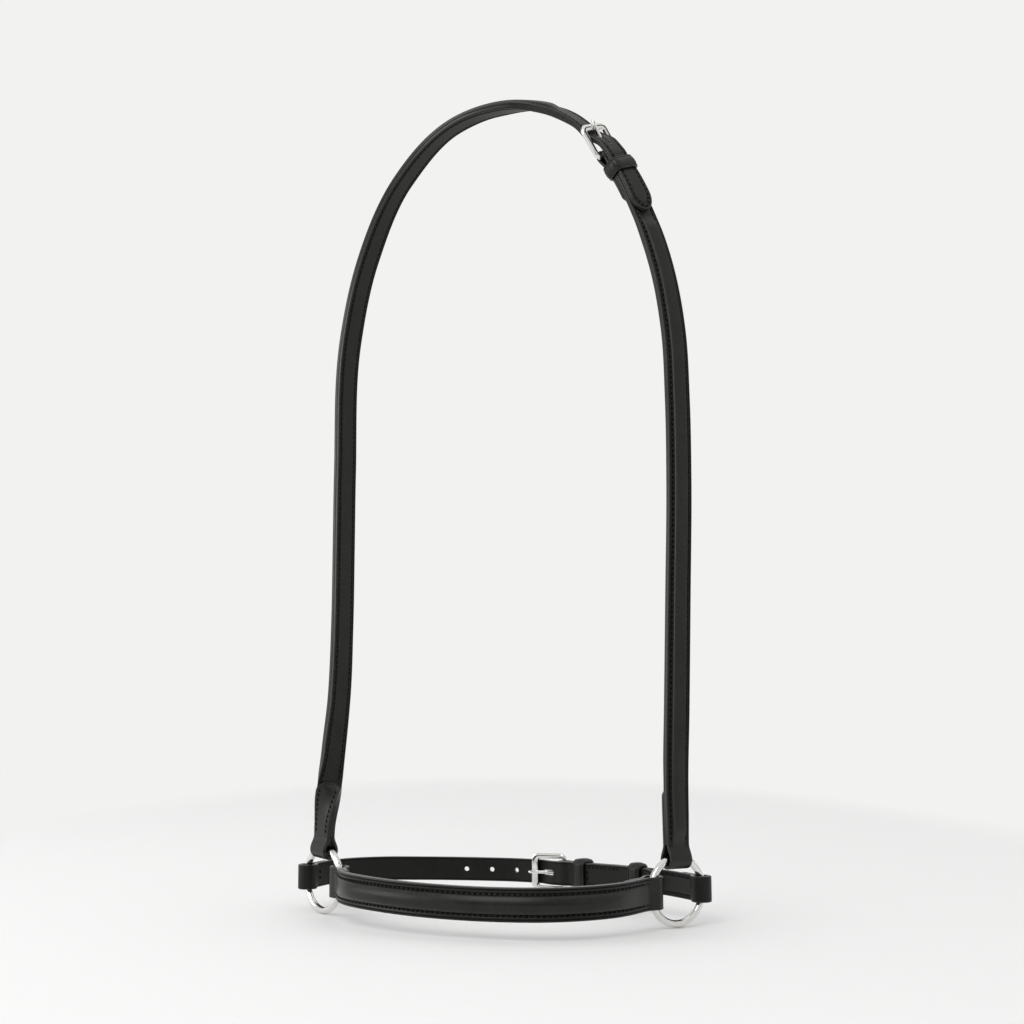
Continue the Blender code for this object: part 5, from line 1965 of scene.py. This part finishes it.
@dataclass
class Studio:
    """A pale floor that blends into a pale surround, soft plain lights and dark flags."""

    floor_radius: float = 4.0
    floor_gap: float = 0.0003
    floor_colour: Point = (0.90, 0.90, 0.895)
    floor_roughness: float = 0.8
    floor_shine: float = 0.1
    flag_colour: Point = (0.02, 0.02, 0.02)
    flag_roughness: float = 0.95
    surround: Point = (0.889, 0.890, 0.880)
    world_level: float = 1.00
    pool: tuple[float, float] = (0.68, 1.97)
    pool_rim: tuple[float, float] = (0.90, 1.08)
    pool_turn: float = math.radians(14.75)
    flag_radius: float = 1.9
    flag_tops: tuple[tuple[float, float], ...] = ((-32.0, -0.30), (-18.0, 0.05), (28.0, 0.05), (42.0, -0.33),
                                                  (105.0, -0.38))
    strips: tuple[tuple[float, float], ...] = ((0.16, 0.30), (0.80, 0.98), (1.75, 2.00))
    lamps: tuple[Softbox, ...] = (Softbox("key_softbox", (-1.68, -0.75, 0.12), 6.5),
                                  Softbox("top_softbox", (-0.35, -1.30, 0.95), 7.5))
    lamp_size: float = 0.9
    lamp_aim: Point = (0.0, 0.0, -0.3)
    FLOOR_STEPS = 96
    FLAG_STEPS = 64

    def build(self) -> None:
        """Build floor, flag, surround and lamps."""
        self._floor()
        self._flag()
        self._world()
        for lamp in self.lamps:
            self._hang(lamp)
        LOG.info("studio built")

    @staticmethod
    def _seen(nodes: Nodes) -> Socket:
        """Tell the rays that show the background: camera, glossy and transmission.

        Args:
            nodes: the nodes of the floor or the surround.

        Returns:
            1 for those rays and 0 for others.
        """
        rays = nodes.add("LightPath").outputs
        glossy = nodes.math("MAXIMUM", rays["Is Camera Ray"], rays["Is Glossy Ray"])
        return nodes.math("MAXIMUM", glossy, rays["Is Transmission Ray"])

    def _floor(self) -> None:
        """Lay the floor, whose rim takes the surround's tone so that no horizon shows."""
        corners = [(self.floor_radius * math.cos(turn), self.floor_radius * math.sin(turn),
                    -BAND.floor_drop - self.floor_gap) for turn in full_turn(self.FLOOR_STEPS)]
        finish, nodes = new_finish("pale_floor", {
            "Base Color": (*self.floor_colour, 1.0), "Roughness": self.floor_roughness,
            "Specular IOR Level": self.floor_shine})
        oval = nodes.add("Mapping", {
            "Vector": nodes.add("TexCoord").outputs["Object"], "Rotation": (0.0, 0.0, self.pool_turn),
            "Scale": (*self.pool, 1.0)}, vector_type="TEXTURE")
        away = nodes.add("VectorMath", {0: oval.outputs["Vector"]}, operation="LENGTH")
        rim = nodes.add("MapRange", {"From Min": self.pool_rim[0], "From Max": self.pool_rim[1],
                                     "Value": away.outputs["Value"]}, interpolation_type="SMOOTHSTEP")
        beyond = nodes.add("Emission", {"Color": (*self.surround, 1.0)})
        blend = nodes.add("MixShader", {
            "Fac": nodes.math("MULTIPLY", rim.outputs["Result"], self._seen(nodes)),
            1: finish.node_tree.nodes["Principled BSDF"].outputs[0], 2: beyond.outputs[0]})
        nodes.fill(finish.node_tree.nodes["Material Output"], {"Surface": blend.outputs[0]})
        new_object("studio_floor", corners, [tuple(range(self.FLOOR_STEPS))], [finish])

    def _flag(self) -> None:
        """Stand a dark flag and slim strips round the noseband, for leather and steel to mirror."""
        finish, _ = new_finish("flag_cloth", {"Base Color": (*self.flag_colour, 1.0),
                                              "Roughness": self.flag_roughness})
        turns, tops = zip(*self.flag_tops)
        around = np.linspace(turns[0], turns[-1], self.FLAG_STEPS + 1)
        circle = np.linspace(-180.0, 180.0, self.FLAG_STEPS + 1)
        bands = [(around, -BAND.floor_drop, np.interp(around, turns, tops))]
        bands += [(circle, low, high) for low, high in self.strips]
        corners = []
        faces = []
        for angles, *heights in bands:
            base, size = len(corners), len(angles)
            for height in heights:
                level = np.broadcast_to(height, size)
                corners += [(self.flag_radius * math.sin(turn), -self.flag_radius * math.cos(turn), up)
                            for turn, up in zip(np.radians(angles), level)]
            faces += [(base + step, base + step + 1, base + size + step + 1, base + size + step)
                      for step in range(size - 1)]
        flag = new_object("studio_flag", corners, faces, [finish])
        flag.visible_camera = False

    def _world(self) -> None:
        """Fill evenly from all round, and show the pale surround where it is seen or mirrored."""
        world = bpy.data.worlds.new("studio_surround")
        bpy.context.scene.world = world
        world.use_nodes = True
        world.node_tree.nodes.clear()
        nodes = Nodes(world.node_tree)
        around = nodes.add("Background", {"Color": (1.0, 1.0, 1.0, 1.0), "Strength": self.world_level})
        shown = nodes.add("Background", {"Color": (*self.surround, 1.0)})
        mix = nodes.add("MixShader", {"Fac": self._seen(nodes), 1: around.outputs[0], 2: shown.outputs[0]})
        nodes.add("OutputWorld", {"Surface": mix.outputs[0]})

    def _hang(self, softbox: Softbox) -> None:
        """Hang one soft lamp that points at the noseband.

        Args:
            softbox: the lamp.
        """
        data = bpy.data.lights.new(softbox.name, "AREA")
        data.shape = "SQUARE"
        data.size = self.lamp_size
        data.energy = softbox.power
        lamp = bpy.data.objects.new(softbox.name, data)
        lamp.location = softbox.place
        aim = Vector(self.lamp_aim) - Vector(softbox.place)
        lamp.rotation_euler = aim.to_track_quat("-Z", "Y").to_euler()
        bpy.context.scene.collection.objects.link(lamp)


@dataclass
class Camera:
    """The photograph's camera."""

    place: Point = (0.252, -0.914, -0.3937)
    azimuth: float = math.radians(14.75)
    pitch: float = math.radians(7.3)
    lens: float = 51.36
    sensor: float = 36.0
    nearest: float = 0.01

    def build(self) -> None:
        """Set the camera up."""
        data = bpy.data.cameras.new("photo_camera")
        data.lens = self.lens
        data.sensor_width = self.sensor
        data.clip_start = self.nearest
        camera = bpy.data.objects.new("photo_camera", data)
        level = math.cos(self.pitch)
        look = Vector((-math.sin(self.azimuth) * level, math.cos(self.azimuth) * level, math.sin(self.pitch)))
        camera.location = self.place
        camera.rotation_euler = look.to_track_quat("-Z", "Y").to_euler()
        bpy.context.scene.collection.objects.link(camera)
        bpy.context.scene.camera = camera


def main() -> None:
    """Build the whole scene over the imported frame."""
    logging.basicConfig(level=logging.INFO, format="%(name)s: %(message)s")
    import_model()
    bpy.context.scene.view_settings.view_transform = "Standard"
    Camera().build()
    Studio().build()
    wardrobe = Wardrobe.make(Shaders())
    routes = Routes()

    stack = 2.0 * HIDE.billet_ply + HIDE.ply_gap
    crown_seat = BuckleSeat(routes.crown, routes.crown.length - BAND.crown_buckle_back, LINED,
                            HIDE.ply_gap / 2.0 + HIDE.fold_ply, stack)
    chin_seat = BuckleSeat(routes.chin, routes.chin.length - BAND.chin_buckle_back, SINGLE,
                           HIDE.chin_fold_ply / 2.0, HIDE.chin_ply)

    CrownStrap(name="crown_strap", line=routes.crown, wardrobe=wardrobe, seat=crown_seat).build()
    CheekStrap(name="cheek_strap", line=routes.crown, wardrobe=wardrobe, seat=crown_seat).build()
    Nosepiece(name="nosepiece", line=routes.nose, wardrobe=wardrobe).build()
    ChinStrap(line=routes.chin, wardrobe=wardrobe, seat=chin_seat).build()
    for side in Side:
        WireRing(side, wardrobe).build()
    Buckle("crown_buckle", crown_seat, "crown_buckle", "crown_tongue", wardrobe).build()
    Buckle("chin_buckle", chin_seat, "chin_buckle", "chin_tongue", wardrobe).build()

    chin_low = -HIDE.chin_fold_ply / 2.0
    leaf_low = chin_low - HIDE.ply_gap - HIDE.chin_fold_ply
    crown_low = LINED.back_height - HIDE.fold_ply / 2.0
    Keeper("crown_keeper_loop", "crown_keeper", "noseband", wardrobe, routes.crown,
           crown_seat.mark + BAND.crown_keeper_reach, crown_low, crown_seat.top, HIDE.keeper_play).build()
    Keeper("chin_keeper_fixed_loop", "chin_keeper_fixed", "noseband", wardrobe, routes.chin,
           chin_seat.mark + BAND.chin_keeper_reach, leaf_low, chin_seat.top, HIDE.keeper_play).build()
    Keeper("chin_keeper_running_loop", "chin_keeper_running", "chin_runner", wardrobe, routes.chin,
           chin_seat.mark + BAND.chin_runner_reach, chin_low, chin_seat.top, HIDE.runner_play).build()

    bpy.context.view_layer.update()


if __name__ == "__main__":
    main()
